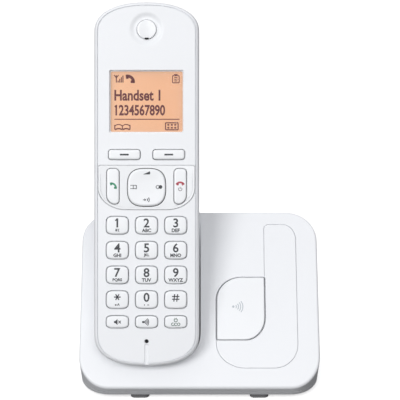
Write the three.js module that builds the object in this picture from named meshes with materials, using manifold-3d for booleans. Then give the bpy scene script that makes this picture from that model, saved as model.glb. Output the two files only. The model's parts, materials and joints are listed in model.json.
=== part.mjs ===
// A cordless telephone: a slim handset standing in the cradle of its sloping charging base.
// Millimetres, +Z up, the front faces -Y. The origin is the middle of the space the phone
// takes up, on the surface that it stands on.
//
// Two frames of their own keep the sloping pieces simple:
//   handset frame  x across, y up the handset from its lower end, z out of its front (front = 0)
//   face frame     x across, y up the base's sloping face from its front edge, z out of the face

import * as THREE from 'three';
import { mergeVertices } from 'three/addons/utils/BufferGeometryUtils.js';
import Module from 'manifold-3d';

const wasm = await Module();
wasm.setup();

// ---------------------------------------------------------------- driving dimensions

const GAP = 0.3; // air left between two pieces that meet
const KEY_GAP = 0.3; // air round each key in its opening
const SMALL = { arc: 2, rim: 1 }; // half the straight pieces in a quarter round, and pieces in a rim
const LARGE = { arc: 3, rim: 2 };
const FAR = 400; // longer than anything here, for cutting tools

const handset = {
  length: 162.7, width: 47, thickness: 28,
  topRound: 13.4, topPower: 2.3,
  bottomRound: 15, bottomPower: 2.5,
  wall: 1.8,
  seamDepth: 10,
  rimDepth: 2.2, rimInset: 1.8,
  backRoundDepth: 7, backRoundInset: 5,
  taperStart: 108, taperDepth: 8,
};

const stance = { lean: 25, faceSlope: 47, handsetAcross: -23.6, handsetUp: 10.2, handsetOut: 4.5 };

const base = {
  width: 109, faceLength: 83, depth: 72, wall: 2.2,
  frontEdgeHeight: 8.4, frontWallTilt: 17, // from square to the face, back towards the vertical
  topCorner: [14.5, 13.5], frontCorner: [13.4, 14.8], backCorner: 14,
  rimRound: 1.1,
  undersideHeight: 2.9, floorThickness: 2,
};

const cradle = { clearance: 0.6, wall: 2 };

const display = { width: 33, height: 27.8, fromTop: 44.6, corner: 0.8, lensThickness: 1, ledge: 0.4 };
const lcd = { width: 34.4, height: 29.4, front: -2.1, thickness: 1.4 };
const lcdFrame = { width: 34.4, height: 30.4, thickness: 2.4 };

const earpiece = { fromTop: 12.5, dishRadius: 7.9, dishDepth: 0.7, capRadius: 4.3, proud: 0.3 };
const earStem = { radius: 3, throatGap: 0.4 };
const earSlot = { width: 1.6, height: 0.6, down: 4.15 };
const receiver = { radius: 6.5, front: -2.2, thickness: 4 };

const keys = {
  columns: [-13, 0, 13],
  rows: [62.9, 51.8, 40.8, 29.8],
  width: 9.7, height: 7.7, corner: 2.8,
  functionUp: 19.9, functionHeight: 5.3, functionCorner: 2.2,
  proud: 0.8, rim: 0.45, under: 2.4,
  flange: 0.6, flangeThickness: 0.8,
};

const softKey = { across: 9.9, up: 94.4, width: 14, height: 4.3, corner: 1.2 };

const trim = {
  halfWidth: 21.5, top: 89.6, bottom: 69.9, thickness: 1, proud: 0.25,
  topCorner: 1, lowerCorner: [12.5, 9.5], ledge: 0.8,
};

const callKey = {
  across: 15, width: 5.5, top: 88.2, bottom: 72.4,
  topCorner: 1.9, innerCorner: 1.7, outerCorner: [3.6, 4],
};

const navigator = { width: 16.9, height: 16.7, up: 79.8, power: 3, proud: 0.9 };
const plunger = { radius: 3, thickness: 0.9 };

const mat = { front: -4.2, thickness: 1.4, halfWidth: 19, bottom: 15, top: 96, corner: 3 };
const board = { front: -6.8, thickness: 1.2, halfWidth: 15, bottom: 8, fromTop: 22.7, corner: 2 };
const mic = { up: 11.2, holeRadius: 0.9, radius: 2.2, front: -3.2, thickness: 2.4 };
const ringer = { fromTop: 35.7, radius: 9, sunk: 2, thickness: 4.6 };

const cell = { radius: 5.2, length: 44.5, across: 5.7, clearance: 1.6, roomAbove: 0.4, bottom: 30.2 };
const nub = { radius: 1.8, length: 1 };
const terminal = { halfWidth: 11.4, thickness: 0.8, depth: 9 };
const springs = { radius: 3, length: 1.9 };
const compartmentSideRoom = 1.7;
const batteryCover = { bottom: 22, top: 104, wall: 2, edgeDepth: 21.7 };

const contact = { across: 9, width: 4, height: 1.7, up: 1.1, depth: 16, thickness: 4 };
const pin = { radius: 1, length: 6.4 };

const handsetScrew = { across: 18.6, up: 100.2, headRadius: 1.8, headThickness: 1.4, shank: 0.9 };
const handsetBoss = { radius: 2.5, headSeat: 6.6 };

const locator = {
  left: 7.7, right: 29.95, bottom: 22.1, top: 51.2,
  bigCorner: [11.3, 10.7], lowCorner: [9, 10.4], smallCorner: 0.6,
  proud: 0.5, flange: 1, flangeThickness: 0.8, under: 3.4,
};
const locatorSwitch = { size: 6, thickness: 1.7, travelRoom: 1.5 };
const inlay = {
  right: 44.5, left: 29.9, top: 76.6, bottom: 9.1, rise: 0.3,
  leftTopCorner: 2.5, rightTopCorner: 6.5, lowerCorner: 11.5,
};

const baseBoard = { left: 6, right: 47, bottom: 14, top: 66, thickness: 1.6, corner: 2 };

const foot = {
  width: 8.6, corner: 2, seat: 0.6,
  frontAcross: 27.1, fromFront: 8.9, fromSide: 15.5, fromBack: 10,
};

const baseScrew = { fromSide: 4.5, fromBack: 17, headRadius: 2.6, headThickness: 0.9, shank: 1.3, reach: 9 };
const baseBoss = { radius: 3.6, counterbore: 1.2 };

const lineSocket = { across: 20, up: 17, width: 9.6, height: 6.8, deep: 9, wall: 1.4 };
const powerSocket = { across: 36.5, up: 17, radius: 3.2, deep: 9, wall: 1.4, pin: 0.9, pinBack: 4.6 };

// ---------------------------------------------------------------- sizes that follow from those

const displayUp = handset.length - display.fromTop;
const earpieceUp = handset.length - earpiece.fromTop;
const ringerUp = handset.length - ringer.fromTop;

const cellDepth = handset.thickness - batteryCover.wall - cell.clearance - cell.radius;
const contactRoom = GAP + terminal.thickness + springs.length + GAP;
const compartment = {
  halfWidth: cell.across + cell.radius + compartmentSideRoom,
  bottom: cell.bottom - contactRoom - GAP,
  top: cell.bottom + cell.length + contactRoom + GAP,
  ceiling: cellDepth - cell.radius - cell.roomAbove,
};

// The ringer lies in a well a little deeper than the ceiling over the cells.
const ringerBack = -compartment.ceiling - ringer.sunk;

const screwAcross = base.width / 2 - baseScrew.fromSide;
const screwBack = base.depth - baseScrew.fromBack;

// ---------------------------------------------------------------- finishes

const plastic = (color, roughness) => new THREE.MeshStandardMaterial({ color, roughness, metalness: 0 });
const metal = (color, roughness) => new THREE.MeshStandardMaterial({ color, roughness, metalness: 1 });

const finish = {
  cover: plastic(0xf1f3f5, 0.42),
  key: plastic(0xf4f5f7, 0.35),
  trim: plastic(0xf6f7f8, 0.22),
  lens: plastic(0xf0b98a, 0.08),
  lcd: plastic(0xe8a574, 0.2),
  lightGuide: plastic(0xe9e4da, 0.5),
  rubber: plastic(0xd9dbdc, 0.8),
  foot: plastic(0x4a4c4e, 0.9),
  board: plastic(0x1f5b3a, 0.55),
  black: plastic(0x1c1d1f, 0.5),
  cell: plastic(0x2f7d4a, 0.4),
  contact: metal(0xd8c48a, 0.3),
  steel: metal(0xb9bcc0, 0.35),
};

// ---------------------------------------------------------------- solids

// A closed geometry as a solid, with its shared corners merged and its empty triangles left out.
function solidOf(geometry) {
  const bare = geometry.clone();
  bare.deleteAttribute('normal');
  bare.deleteAttribute('uv');
  const merged = mergeVertices(bare, 1e-4);
  const index = merged.index.array;
  const triangles = [];
  for (let i = 0; i < index.length; i += 3) {
    const [a, b, c] = [index[i], index[i + 1], index[i + 2]];
    if (a !== b && b !== c && c !== a) triangles.push(a, b, c);
  }
  return new wasm.Manifold(new wasm.Mesh({
    numProp: 3,
    vertProperties: new Float32Array(merged.attributes.position.array),
    triVerts: new Uint32Array(triangles),
  }));
}

function geometryOf(solid) {
  const mesh = solid.getMesh();
  const geometry = new THREE.BufferGeometry();
  geometry.setAttribute('position', new THREE.BufferAttribute(new Float32Array(mesh.vertProperties), 3));
  geometry.setIndex(new THREE.BufferAttribute(new Uint32Array(mesh.triVerts), 1));
  geometry.computeVertexNormals();
  return geometry;
}

function block(xLow, xHigh, yLow, yHigh, zLow, zHigh) {
  const geometry = new THREE.BoxGeometry(xHigh - xLow, yHigh - yLow, zHigh - zLow);
  geometry.translate((xLow + xHigh) / 2, (yLow + yHigh) / 2, (zLow + zHigh) / 2);
  return solidOf(geometry);
}

// A flat outline given thickness from one depth to another.
function slab(shape, zLow, zHigh, frame = new THREE.Matrix4(), curveSegments = SMALL.arc) {
  const options = { depth: zHigh - zLow, bevelEnabled: false, curveSegments };
  const geometry = new THREE.ExtrudeGeometry(shape, options);
  geometry.translate(0, 0, zLow);
  geometry.applyMatrix4(frame);
  return solidOf(geometry);
}

// The same with both rims rounded: each rim goes in by inset over a depth of round.
function softSlab(shape, zLow, zHigh, round, inset, steps, frame = new THREE.Matrix4()) {
  const geometry = new THREE.ExtrudeGeometry(shape, {
    depth: zHigh - zLow - 2 * round,
    bevelThickness: round,
    bevelSize: inset,
    bevelOffset: -inset,
    bevelSegments: steps.rim,
    curveSegments: steps.arc,
  });
  geometry.translate(0, 0, zLow + round);
  geometry.applyMatrix4(frame);
  return solidOf(geometry);
}

// A slab whose front rim alone is rounded.
function cap(shape, zLow, zHigh, round, inset = round, steps = SMALL) {
  const whole = softSlab(shape, zLow - 2 * round, zHigh, round, inset, steps);
  return whole.intersect(block(-FAR, FAR, -FAR, FAR, zLow, FAR));
}

// A round post along z, centred on x and y.
function post(x, y, radius, zLow, zHigh, sides = 20) {
  const geometry = new THREE.CylinderGeometry(radius, radius, zHigh - zLow, sides);
  geometry.rotateX(Math.PI / 2);
  geometry.translate(x, y, (zLow + zHigh) / 2);
  return solidOf(geometry);
}

// A round rod along y, centred on x and z.
function rod(x, z, radius, yLow, yHigh, sides = 20) {
  const geometry = new THREE.CylinderGeometry(radius, radius, yHigh - yLow, sides);
  geometry.translate(x, (yLow + yHigh) / 2, z);
  return solidOf(geometry);
}

// A side view, drawn with y across the sheet and z up it, carried from one x to another.
function sideCut(points, xLow, xHigh) {
  const shape = new THREE.Shape(points.map(([y, z]) => new THREE.Vector2(y, z)));
  const sheet = new THREE.Matrix4().makeBasis(
    new THREE.Vector3(0, 1, 0), new THREE.Vector3(0, 0, 1), new THREE.Vector3(1, 0, 0));
  return slab(shape, xLow, xHigh, sheet);
}

// ---------------------------------------------------------------- outlines

// Part of a superellipse about the origin, between two angles in quarter turns.
function superArc(halfWidth, halfHeight, power, from, to) {
  const count = Math.abs(to - from) * LARGE.arc * 3;
  return Array.from({ length: count + 1 }, (_, i) => {
    const angle = (from + (to - from) * i / count) * Math.PI / 2;
    const bow = (value) => Math.sign(value) * Math.abs(value) ** (2 / power);
    return new THREE.Vector2(halfWidth * bow(Math.cos(angle)), halfHeight * bow(Math.sin(angle)));
  });
}

const pair = (radius) => (Array.isArray(radius) ? radius : [radius, radius]);

// A rectangle with four rounded corners, each a radius or an [across, up] pair.
function cornered(left, right, bottom, top, lowerLeft, lowerRight, upperRight, upperLeft) {
  const shape = new THREE.Shape();
  const corner = (x, y, radius, inX, inY, quarter) => {
    const [across, up] = pair(radius);
    const start = quarter * Math.PI / 2;
    shape.absellipse(x + inX * across, y + inY * up, across, up, start, start + Math.PI / 2, false, 0);
  };
  corner(right, bottom, lowerRight, -1, 1, 3);
  corner(right, top, upperRight, -1, -1, 0);
  corner(left, top, upperLeft, 1, -1, 1);
  corner(left, bottom, lowerLeft, 1, 1, 2);
  return shape;
}

function roundedBox(x, y, width, height, radius) {
  const [halfWidth, halfHeight] = [width / 2, height / 2];
  const edges = [x - halfWidth, x + halfWidth, y - halfHeight, y + halfHeight];
  return cornered(...edges, radius, radius, radius, radius);
}

// The handset seen from the front, grown or shrunk all round.
function handsetOutline(grow = 0) {
  const halfWidth = handset.width / 2 + grow;
  const lower = superArc(halfWidth, handset.bottomRound + grow, handset.bottomPower, -2, 0);
  const upper = superArc(halfWidth, handset.topRound + grow, handset.topPower, 0, 2);
  lower.forEach((point) => { point.y += handset.bottomRound; });
  upper.forEach((point) => { point.y += handset.length - handset.topRound; });
  return new THREE.Shape([...lower, ...upper]);
}

function trimOutline(grow = 0) {
  const side = trim.halfWidth + grow;
  const [lower, upper] = [trim.lowerCorner, trim.topCorner];
  return cornered(-side, side, trim.bottom - grow, trim.top + grow, lower, lower, upper, upper);
}

// A call key; side is -1 for the left one and 1 for the right one.
function callKeyOutline(side, grow = 0) {
  const middle = side * callKey.across;
  const reach = callKey.width / 2 + grow;
  const edges = [middle - reach, middle + reach, callKey.bottom - grow, callKey.top + grow];
  const [outer, inner, upper] = [callKey.outerCorner, callKey.innerCorner, callKey.topCorner];
  return side < 0
    ? cornered(...edges, outer, inner, upper, upper)
    : cornered(...edges, inner, outer, upper, upper);
}

function navigatorOutline(grow = 0) {
  const points = superArc(navigator.width / 2 + grow, navigator.height / 2 + grow, navigator.power, 0, 4);
  points.pop();
  points.forEach((point) => { point.y += navigator.up; });
  return new THREE.Shape(points);
}

function locatorOutline(grow = 0) {
  const edges = [locator.left - grow, locator.right + grow, locator.bottom - grow, locator.top + grow];
  return cornered(...edges, locator.smallCorner, locator.lowCorner, locator.smallCorner, locator.bigCorner);
}

// The raised panel round the button is a tall leg and a wide foot.
function inlayOutlines() {
  const upper = cornered(inlay.left, inlay.right, locator.bottom, inlay.top,
    0.5, 0.5, inlay.rightTopCorner, inlay.leftTopCorner);
  const lower = cornered(locator.left, inlay.right, inlay.bottom, locator.top,
    inlay.lowerCorner, inlay.lowerCorner, 0.5, 0.5);
  return [upper, lower];
}

// ---------------------------------------------------------------- frames

const radians = THREE.MathUtils.degToRad;
const handsetTilt = radians(90 - stance.lean);
const faceTilt = radians(stance.faceSlope);
const up = new THREE.Vector3(0, Math.cos(handsetTilt), Math.sin(handsetTilt));
const out = new THREE.Vector3(0, -Math.sin(handsetTilt), Math.cos(handsetTilt));

const faceOrigin = new THREE.Vector3(0, 0, base.frontEdgeHeight);
const handsetOrigin = faceOrigin.clone()
  .addScaledVector(up, stance.handsetUp)
  .addScaledVector(out, stance.handsetOut)
  .setX(stance.handsetAcross);

const faceFrame = new THREE.Matrix4().makeRotationX(faceTilt).setPosition(faceOrigin);
// The walls round the face come down steeper than square to it, so the front is less undercut.
const wallShear = new THREE.Matrix4().makeShear(0, 0, 0, 0, 0, Math.tan(radians(base.frontWallTilt)));
const wallFrame = faceFrame.clone().multiply(wallShear);
const handsetFrame = new THREE.Matrix4().makeRotationX(handsetTilt).setPosition(handsetOrigin);

// ---------------------------------------------------------------- handset covers

const openingForKey = (x, y, width, height, radius) => {
  const shape = roundedBox(x, y, width + 2 * KEY_GAP, height + 2 * KEY_GAP, radius + KEY_GAP);
  return slab(shape, -handset.seamDepth, handset.rimDepth);
};

function frontCover() {
  const { wall, rimDepth, rimInset, seamDepth } = handset;
  let cover = cap(handsetOutline(), -seamDepth, 0, rimDepth, rimInset, LARGE);
  cover = cover.subtract(slab(handsetOutline(-wall), -seamDepth - wall, -wall));
  for (const side of [-1, 1]) {
    const [x, y] = [side * handsetScrew.across, handsetScrew.up];
    cover = cover.add(post(x, y, handsetBoss.radius, -seamDepth + GAP, -wall / 2, 12));
    cover = cover.subtract(post(x, y, handsetScrew.shank + GAP, -seamDepth - GAP, -wall - GAP, 12));
  }

  const lensSeat = display.lensThickness + GAP;
  const lensRoom = roundedBox(0, displayUp, display.width + 2 * GAP, display.height + 2 * GAP,
    display.corner + GAP);
  const window = roundedBox(0, displayUp, display.width - 2 * display.ledge,
    display.height - 2 * display.ledge, display.corner);
  cover = cover.subtract(slab(lensRoom, -lensSeat, wall)).subtract(slab(window, -2 * wall, wall));

  cover = cover.subtract(slab(trimOutline(GAP), -trim.thickness - GAP, wall));
  cover = cover.subtract(slab(trimOutline(-trim.ledge), -2 * wall, wall));

  cover = cover.subtract(post(0, earpieceUp, earpiece.dishRadius, -earpiece.dishDepth, wall, 28));
  cover = cover.subtract(post(0, earpieceUp, earStem.radius + earStem.throatGap, -2 * wall, wall, 16));
  cover = cover.subtract(post(0, mic.up, mic.holeRadius, -2 * wall, wall, 12));

  for (const x of keys.columns) {
    for (const y of keys.rows) {
      cover = cover.subtract(openingForKey(x, y, keys.width, keys.height, keys.corner));
    }
    const { functionUp, functionHeight, functionCorner } = keys;
    cover = cover.subtract(openingForKey(x, functionUp, keys.width, functionHeight, functionCorner));
  }
  for (const side of [-1, 1]) {
    const { across, up: height, width, height: tall, corner } = softKey;
    cover = cover.subtract(openingForKey(side * across, height, width, tall, corner));
  }
  return cover;
}

// The handset's back half from the seam down, shrunk all round by inset.
function backForm(inset) {
  const { thickness, seamDepth, backRoundDepth, backRoundInset } = handset;
  const shape = handsetOutline(-inset);
  const reach = [-thickness + inset, 2 * backRoundDepth];
  const whole = softSlab(shape, ...reach, backRoundDepth, backRoundInset, LARGE);
  return whole.intersect(block(-FAR, FAR, -FAR, FAR, -FAR, -seamDepth - GAP));
}

function topTaper() {
  const { thickness, taperStart, taperDepth, length } = handset;
  const slope = taperDepth / (length - taperStart);
  const far = length + thickness;
  const points = [[taperStart, -thickness], [taperStart, -FAR], [far, -FAR],
    [far, -thickness + slope * (far - taperStart)]];
  return sideCut(points, -FAR, FAR);
}

// Where the battery cover lies, and where it slides over the lower end of the back.
function slideZone(grow) {
  return block(-FAR, FAR, -FAR, batteryCover.top + grow, -FAR, grow - batteryCover.edgeDepth);
}

function rearCover() {
  const { wall, seamDepth } = handset;
  const zone = slideZone(GAP);
  const sunk = backForm(batteryCover.wall + GAP).intersect(zone);
  let cover = backForm(0).subtract(zone).add(sunk).subtract(topTaper());

  const shallow = -compartment.ceiling + wall;
  cover = cover.subtract(slab(handsetOutline(-wall), shallow, -seamDepth + wall));
  const deepRoom = slab(handsetOutline(-2 * wall), ringerBack - GAP, -seamDepth);
  const upperHalf = block(-FAR, FAR, batteryCover.top, handset.length - handset.topRound, -FAR, FAR);
  cover = cover.subtract(deepRoom.intersect(upperHalf));

  const { halfWidth, bottom, top, ceiling } = compartment;
  cover = cover.subtract(block(-halfWidth, halfWidth, bottom, top, -FAR, -ceiling));
  for (const side of [-1, 1]) {
    cover = cover.subtract(contactBlock(side, GAP, -contact.height));
    const [x, y] = [side * handsetScrew.across, handsetScrew.up];
    const seat = -handset.thickness + handsetBoss.headSeat + handsetScrew.headThickness + GAP;
    cover = cover.subtract(post(x, y, handsetScrew.headRadius + GAP, -FAR, seat, 16));
    cover = cover.subtract(post(x, y, handsetScrew.shank + GAP, -FAR, 0, 12));
  }
  return cover;
}

function batteryCoverShell() {
  const shell = backForm(0).subtract(backForm(batteryCover.wall));
  return shell.intersect(slideZone(0)).intersect(block(-FAR, FAR, batteryCover.bottom, FAR, -FAR, FAR));
}

// A charging contact in the handset's lower end; lower takes its bottom down for the cut-out.
function contactBlock(side, grow = 0, lower = 0) {
  const x = side * contact.across;
  const reach = contact.width / 2 + grow;
  const middle = -contact.depth;
  const deep = contact.thickness / 2 + grow;
  const floor = contact.up + (lower ? lower - grow : 0);
  return block(x - reach, x + reach, floor, contact.up + contact.height + grow, middle - deep, middle + deep);
}

// ---------------------------------------------------------------- handset front pieces

function displayLens() {
  const shape = roundedBox(0, displayUp, display.width, display.height, display.corner);
  return slab(shape, -display.lensThickness, 0);
}

function lcdPanel() {
  const shape = roundedBox(0, displayUp, lcd.width, lcd.height, display.corner);
  return slab(shape, lcd.front - lcd.thickness, lcd.front);
}

function lcdHolder() {
  const front = lcd.front - lcd.thickness - GAP;
  const shape = roundedBox(0, displayUp, lcdFrame.width, lcdFrame.height, display.corner);
  return slab(shape, front - lcdFrame.thickness, front);
}

function earCap() {
  const seat = -earpiece.dishDepth + GAP;
  const disc = post(0, earpieceUp, earpiece.capRadius, seat, earpiece.proud, 24);
  const stem = post(0, earpieceUp, earStem.radius, -handset.wall, seat + GAP, 16);
  const y = earpieceUp - earSlot.down;
  const slot = block(-earSlot.width / 2, earSlot.width / 2, y - earSlot.height / 2, y + earSlot.height / 2,
    seat - GAP, FAR);
  return disc.add(stem).subtract(slot);
}

function controlTrim() {
  let plate = cap(trimOutline(), -trim.thickness, trim.proud, trim.proud);
  for (const side of [-1, 1]) plate = plate.subtract(slab(callKeyOutline(side, KEY_GAP), -FAR, FAR));
  return plate.subtract(slab(navigatorOutline(KEY_GAP), -FAR, FAR));
}

// A key: a rounded cap that stands through the cover on a wider foot beneath it.
function keyCap(outline, footOutline, proud) {
  const foot = -keys.under - keys.flangeThickness;
  return cap(outline, foot, proud, keys.rim).add(slab(footOutline, foot, -keys.under));
}

function boxKey(x, y, width, height, radius) {
  const grow = 2 * keys.flange;
  const footOutline = roundedBox(x, y, width + grow, height + grow, radius);
  return keyCap(roundedBox(x, y, width, height, radius), footOutline, keys.proud);
}

function callKeyCap(side) {
  return keyCap(callKeyOutline(side), callKeyOutline(side, keys.flange), keys.proud);
}

function navigatorKey() {
  return cap(navigatorOutline(), -keys.under, navigator.proud, keys.rim);
}

function navigatorPlunger() {
  const front = -keys.under - GAP;
  return post(0, navigator.up, plunger.radius, front - plunger.thickness, front);
}

// ---------------------------------------------------------------- handset inner pieces

function keypadMat() {
  const shape = cornered(-mat.halfWidth, mat.halfWidth, mat.bottom, mat.top,
    mat.corner, mat.corner, mat.corner, mat.corner);
  return slab(shape, mat.front - mat.thickness, mat.front);
}

function handsetBoard() {
  const shape = cornered(-board.halfWidth, board.halfWidth, board.bottom, handset.length - board.fromTop,
    board.corner, board.corner, board.corner, board.corner);
  return slab(shape, board.front - board.thickness, board.front);
}

function receiverCapsule() {
  return post(0, earpieceUp, receiver.radius, receiver.front - receiver.thickness, receiver.front);
}

function microphone() {
  return post(0, mic.up, mic.radius, mic.front - mic.thickness, mic.front, 16);
}

function ringerSpeaker() {
  return post(0, ringerUp, ringer.radius, ringerBack, ringerBack + ringer.thickness);
}

// A round dry cell; side places it and turn says which way its nub points.
function batteryCell(side) {
  const [x, z] = [side * cell.across, -cellDepth];
  const [bottom, top] = [cell.bottom, cell.bottom + cell.length];
  const can = side < 0 ? [bottom, top - nub.length] : [bottom + nub.length, top];
  const core = side < 0 ? [bottom + nub.length, top] : [bottom, top - nub.length];
  return rod(x, z, cell.radius, ...can).add(rod(x, z, nub.radius, ...core));
}

// A contact strip at one end of the cells, with a round pad for each; end is -1 or 1.
function batteryTerminal(end) {
  const outerFace = end < 0 ? compartment.bottom + GAP : compartment.top - GAP;
  const innerFace = outerFace - end * terminal.thickness;
  const tip = innerFace - end * springs.length;
  const inOrder = (a, b) => [Math.min(a, b), Math.max(a, b)];
  const strip = block(-terminal.halfWidth, terminal.halfWidth, ...inOrder(outerFace, innerFace),
    -cellDepth - terminal.depth / 2, -cellDepth + terminal.depth / 2);
  const pad = (x) => rod(x, -cellDepth, springs.radius, ...inOrder(tip, outerFace), 14);
  return strip.add(pad(-cell.across)).add(pad(cell.across));
}

function handsetScrewSolid(side) {
  const [x, y] = [side * handsetScrew.across, handsetScrew.up];
  const head = -handset.thickness + handsetBoss.headSeat;
  const neck = head + handsetScrew.headThickness;
  return post(x, y, handsetScrew.headRadius, head, neck, 14)
    .add(post(x, y, handsetScrew.shank, neck - GAP, -handset.wall - 2 * GAP - 1, 10));
}

// ---------------------------------------------------------------- base covers

const shrink = (radius, inset) => pair(radius).map((value) => Math.max(value - inset, 1));

// The base's outer form, shrunk all round by inset, down to a stated height.
function baseForm(inset, floorHeight) {
  const side = base.width / 2 - inset;
  const front = shrink(base.frontCorner, inset);
  const top = shrink(base.topCorner, inset);
  const faceShape = cornered(-side, side, inset, base.faceLength - inset, front, front, top, top);
  const face = softSlab(faceShape, -FAR / 2, -inset, base.rimRound, base.rimRound, LARGE, wallFrame);
  const back = shrink(base.backCorner, inset);
  const plan = cornered(-side, side, -FAR / 4, base.depth - inset, 1, 1, back, back);
  return face.intersect(slab(plan, floorHeight, FAR, new THREE.Matrix4(), LARGE.arc));
}

const coverBottom = base.undersideHeight + base.floorThickness + GAP;

// The space that the handset's lower end stands in, grown all round.
function cradleSpace(grow) {
  return slab(handsetOutline(grow), -handset.thickness - grow, FAR / 4, handsetFrame);
}

function baseTopCover() {
  let cover = baseForm(0, coverBottom).subtract(baseForm(base.wall, -FAR / 4));
  for (const shape of inlayOutlines()) {
    cover = cover.add(slab(shape, -base.wall / 2, inlay.rise, faceFrame));
  }

  const liner = cradleSpace(cradle.clearance + cradle.wall).intersect(baseForm(0, coverBottom));
  cover = cover.add(liner);
  for (const side of [-1, 1]) {
    const column = post(side * screwAcross, screwBack, baseBoss.radius, coverBottom, FAR / 4, 14);
    cover = cover.add(column.intersect(baseForm(base.wall / 2, coverBottom)));
  }
  cover = cover.subtract(cradleSpace(cradle.clearance));

  // The button's opening cuts the face only, from just under it outwards.
  cover = cover.subtract(slab(locatorOutline(KEY_GAP), -2 * base.wall, FAR / 4, faceFrame));
  for (const side of [-1, 1]) {
    const x = side * screwAcross;
    cover = cover.subtract(post(x, screwBack, baseScrew.shank + GAP, 0, coverBottom + baseScrew.reach, 12));
    cover = cover.subtract(pinRod(side, GAP, 2 * GAP));
  }
  const { width, height, wall } = lineSocket;
  const through = [base.depth - 2 * wall, base.depth + base.wall];
  const lineMouth = block(lineSocket.across - width / 2, lineSocket.across + width / 2, ...through,
    lineSocket.up - height / 2, lineSocket.up + height / 2);
  const powerMouth = rod(powerSocket.across, powerSocket.up, powerSocket.radius, ...through);
  return cover.subtract(lineMouth).subtract(powerMouth);
}

const backFootAcross = base.width / 2 - foot.fromSide;
const footPlaces = [
  ['foot_front_left', -foot.frontAcross, foot.fromFront],
  ['foot_front_right', foot.frontAcross, foot.fromFront],
  ['foot_back_left', -backFootAcross, base.depth - foot.fromBack],
  ['foot_back_right', backFootAcross, base.depth - foot.fromBack],
];

function baseBottomCover() {
  const top = base.undersideHeight + base.floorThickness;
  let plate = baseForm(0, base.undersideHeight).intersect(block(-FAR, FAR, -FAR, FAR, 0, top));
  for (const [, x, y] of footPlaces) {
    const seat = roundedBox(x, y, foot.width + 2 * GAP, foot.width + 2 * GAP, foot.corner);
    plate = plate.subtract(slab(seat, 0, base.undersideHeight + foot.seat));
  }
  for (const side of [-1, 1]) {
    const x = side * screwAcross;
    const seat = base.undersideHeight + baseBoss.counterbore;
    plate = plate.subtract(post(x, screwBack, baseScrew.headRadius + GAP, 0, seat, 14));
    plate = plate.subtract(post(x, screwBack, baseScrew.shank + GAP, 0, FAR, 12));
  }
  return plate;
}

// ---------------------------------------------------------------- base pieces

function footSolid(x, y) {
  const height = base.undersideHeight + foot.seat - GAP;
  return slab(roundedBox(x, y, foot.width, foot.width, foot.corner), 0, height);
}

function baseScrewSolid(side) {
  const x = side * screwAcross;
  const seat = base.undersideHeight + baseBoss.counterbore - GAP;
  const head = post(x, screwBack, baseScrew.headRadius, seat - baseScrew.headThickness, seat, 14);
  return head.add(post(x, screwBack, baseScrew.shank, seat - GAP, coverBottom + baseScrew.reach - GAP, 10));
}

// A sprung charging pin of the base, which meets the handset's contact from below.
function pinRod(side, grow = 0, longer = 0) {
  const tip = contact.up - GAP;
  const [radius, length] = [pin.radius + grow, pin.length + 2 * longer];
  const geometry = new THREE.CylinderGeometry(radius, radius, length, 14);
  geometry.translate(side * contact.across, tip - pin.length / 2, -contact.depth);
  geometry.applyMatrix4(handsetFrame);
  return solidOf(geometry);
}

function locatorButton() {
  const foot = -locator.under;
  const collar = slab(locatorOutline(locator.flange), foot, foot + locator.flangeThickness);
  return cap(locatorOutline(), foot, locator.proud, keys.rim).add(collar);
}

const switchFront = -locator.under - locatorSwitch.travelRoom;
const boardFront = switchFront - locatorSwitch.thickness - GAP;

function locatorSwitchSolid() {
  const [x, y] = [(locator.left + locator.right) / 2, (locator.bottom + locator.top) / 2];
  return slab(roundedBox(x, y, locatorSwitch.size, locatorSwitch.size, 1),
    switchFront - locatorSwitch.thickness, switchFront);
}

function baseBoardSolid() {
  const { left, right, bottom, top, corner } = baseBoard;
  return slab(cornered(left, right, bottom, top, corner, corner, corner, corner),
    boardFront - baseBoard.thickness, boardFront);
}

function lineSocketSolid() {
  const { across, up: height, width, height: tall, deep, wall } = lineSocket;
  const face = base.depth - base.wall - GAP;
  const body = block(across - width / 2 - wall, across + width / 2 + wall, face - deep - wall, face,
    height - tall / 2 - wall, height + tall / 2 + wall);
  const hollow = block(across - width / 2, across + width / 2, face - deep, FAR,
    height - tall / 2, height + tall / 2);
  return body.subtract(hollow);
}

function powerSocketSolid() {
  const { across, up: height, radius, deep, wall } = powerSocket;
  const face = base.depth - base.wall - GAP;
  const reach = radius + wall;
  const back = face - deep;
  const body = block(across - reach, across + reach, back - wall, face, height - reach, height + reach);
  const centrePin = rod(across, height, powerSocket.pin, back - wall / 2, face - powerSocket.pinBack, 10);
  return body.subtract(rod(across, height, radius, back, FAR)).add(centrePin);
}

// ---------------------------------------------------------------- assembly

const phone = new THREE.Group();
const handsetGroup = new THREE.Group();
const baseGroup = new THREE.Group();
const faceGroup = new THREE.Group();
phone.add(handsetGroup, baseGroup);
baseGroup.add(faceGroup);
handsetGroup.position.copy(handsetOrigin);
handsetGroup.rotation.x = handsetTilt;
faceGroup.position.copy(faceOrigin);
faceGroup.rotation.x = faceTilt;

function place(group, name, solid, material) {
  const mesh = new THREE.Mesh(geometryOf(solid), material.clone());
  mesh.name = name;
  group.add(mesh);
}

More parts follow.
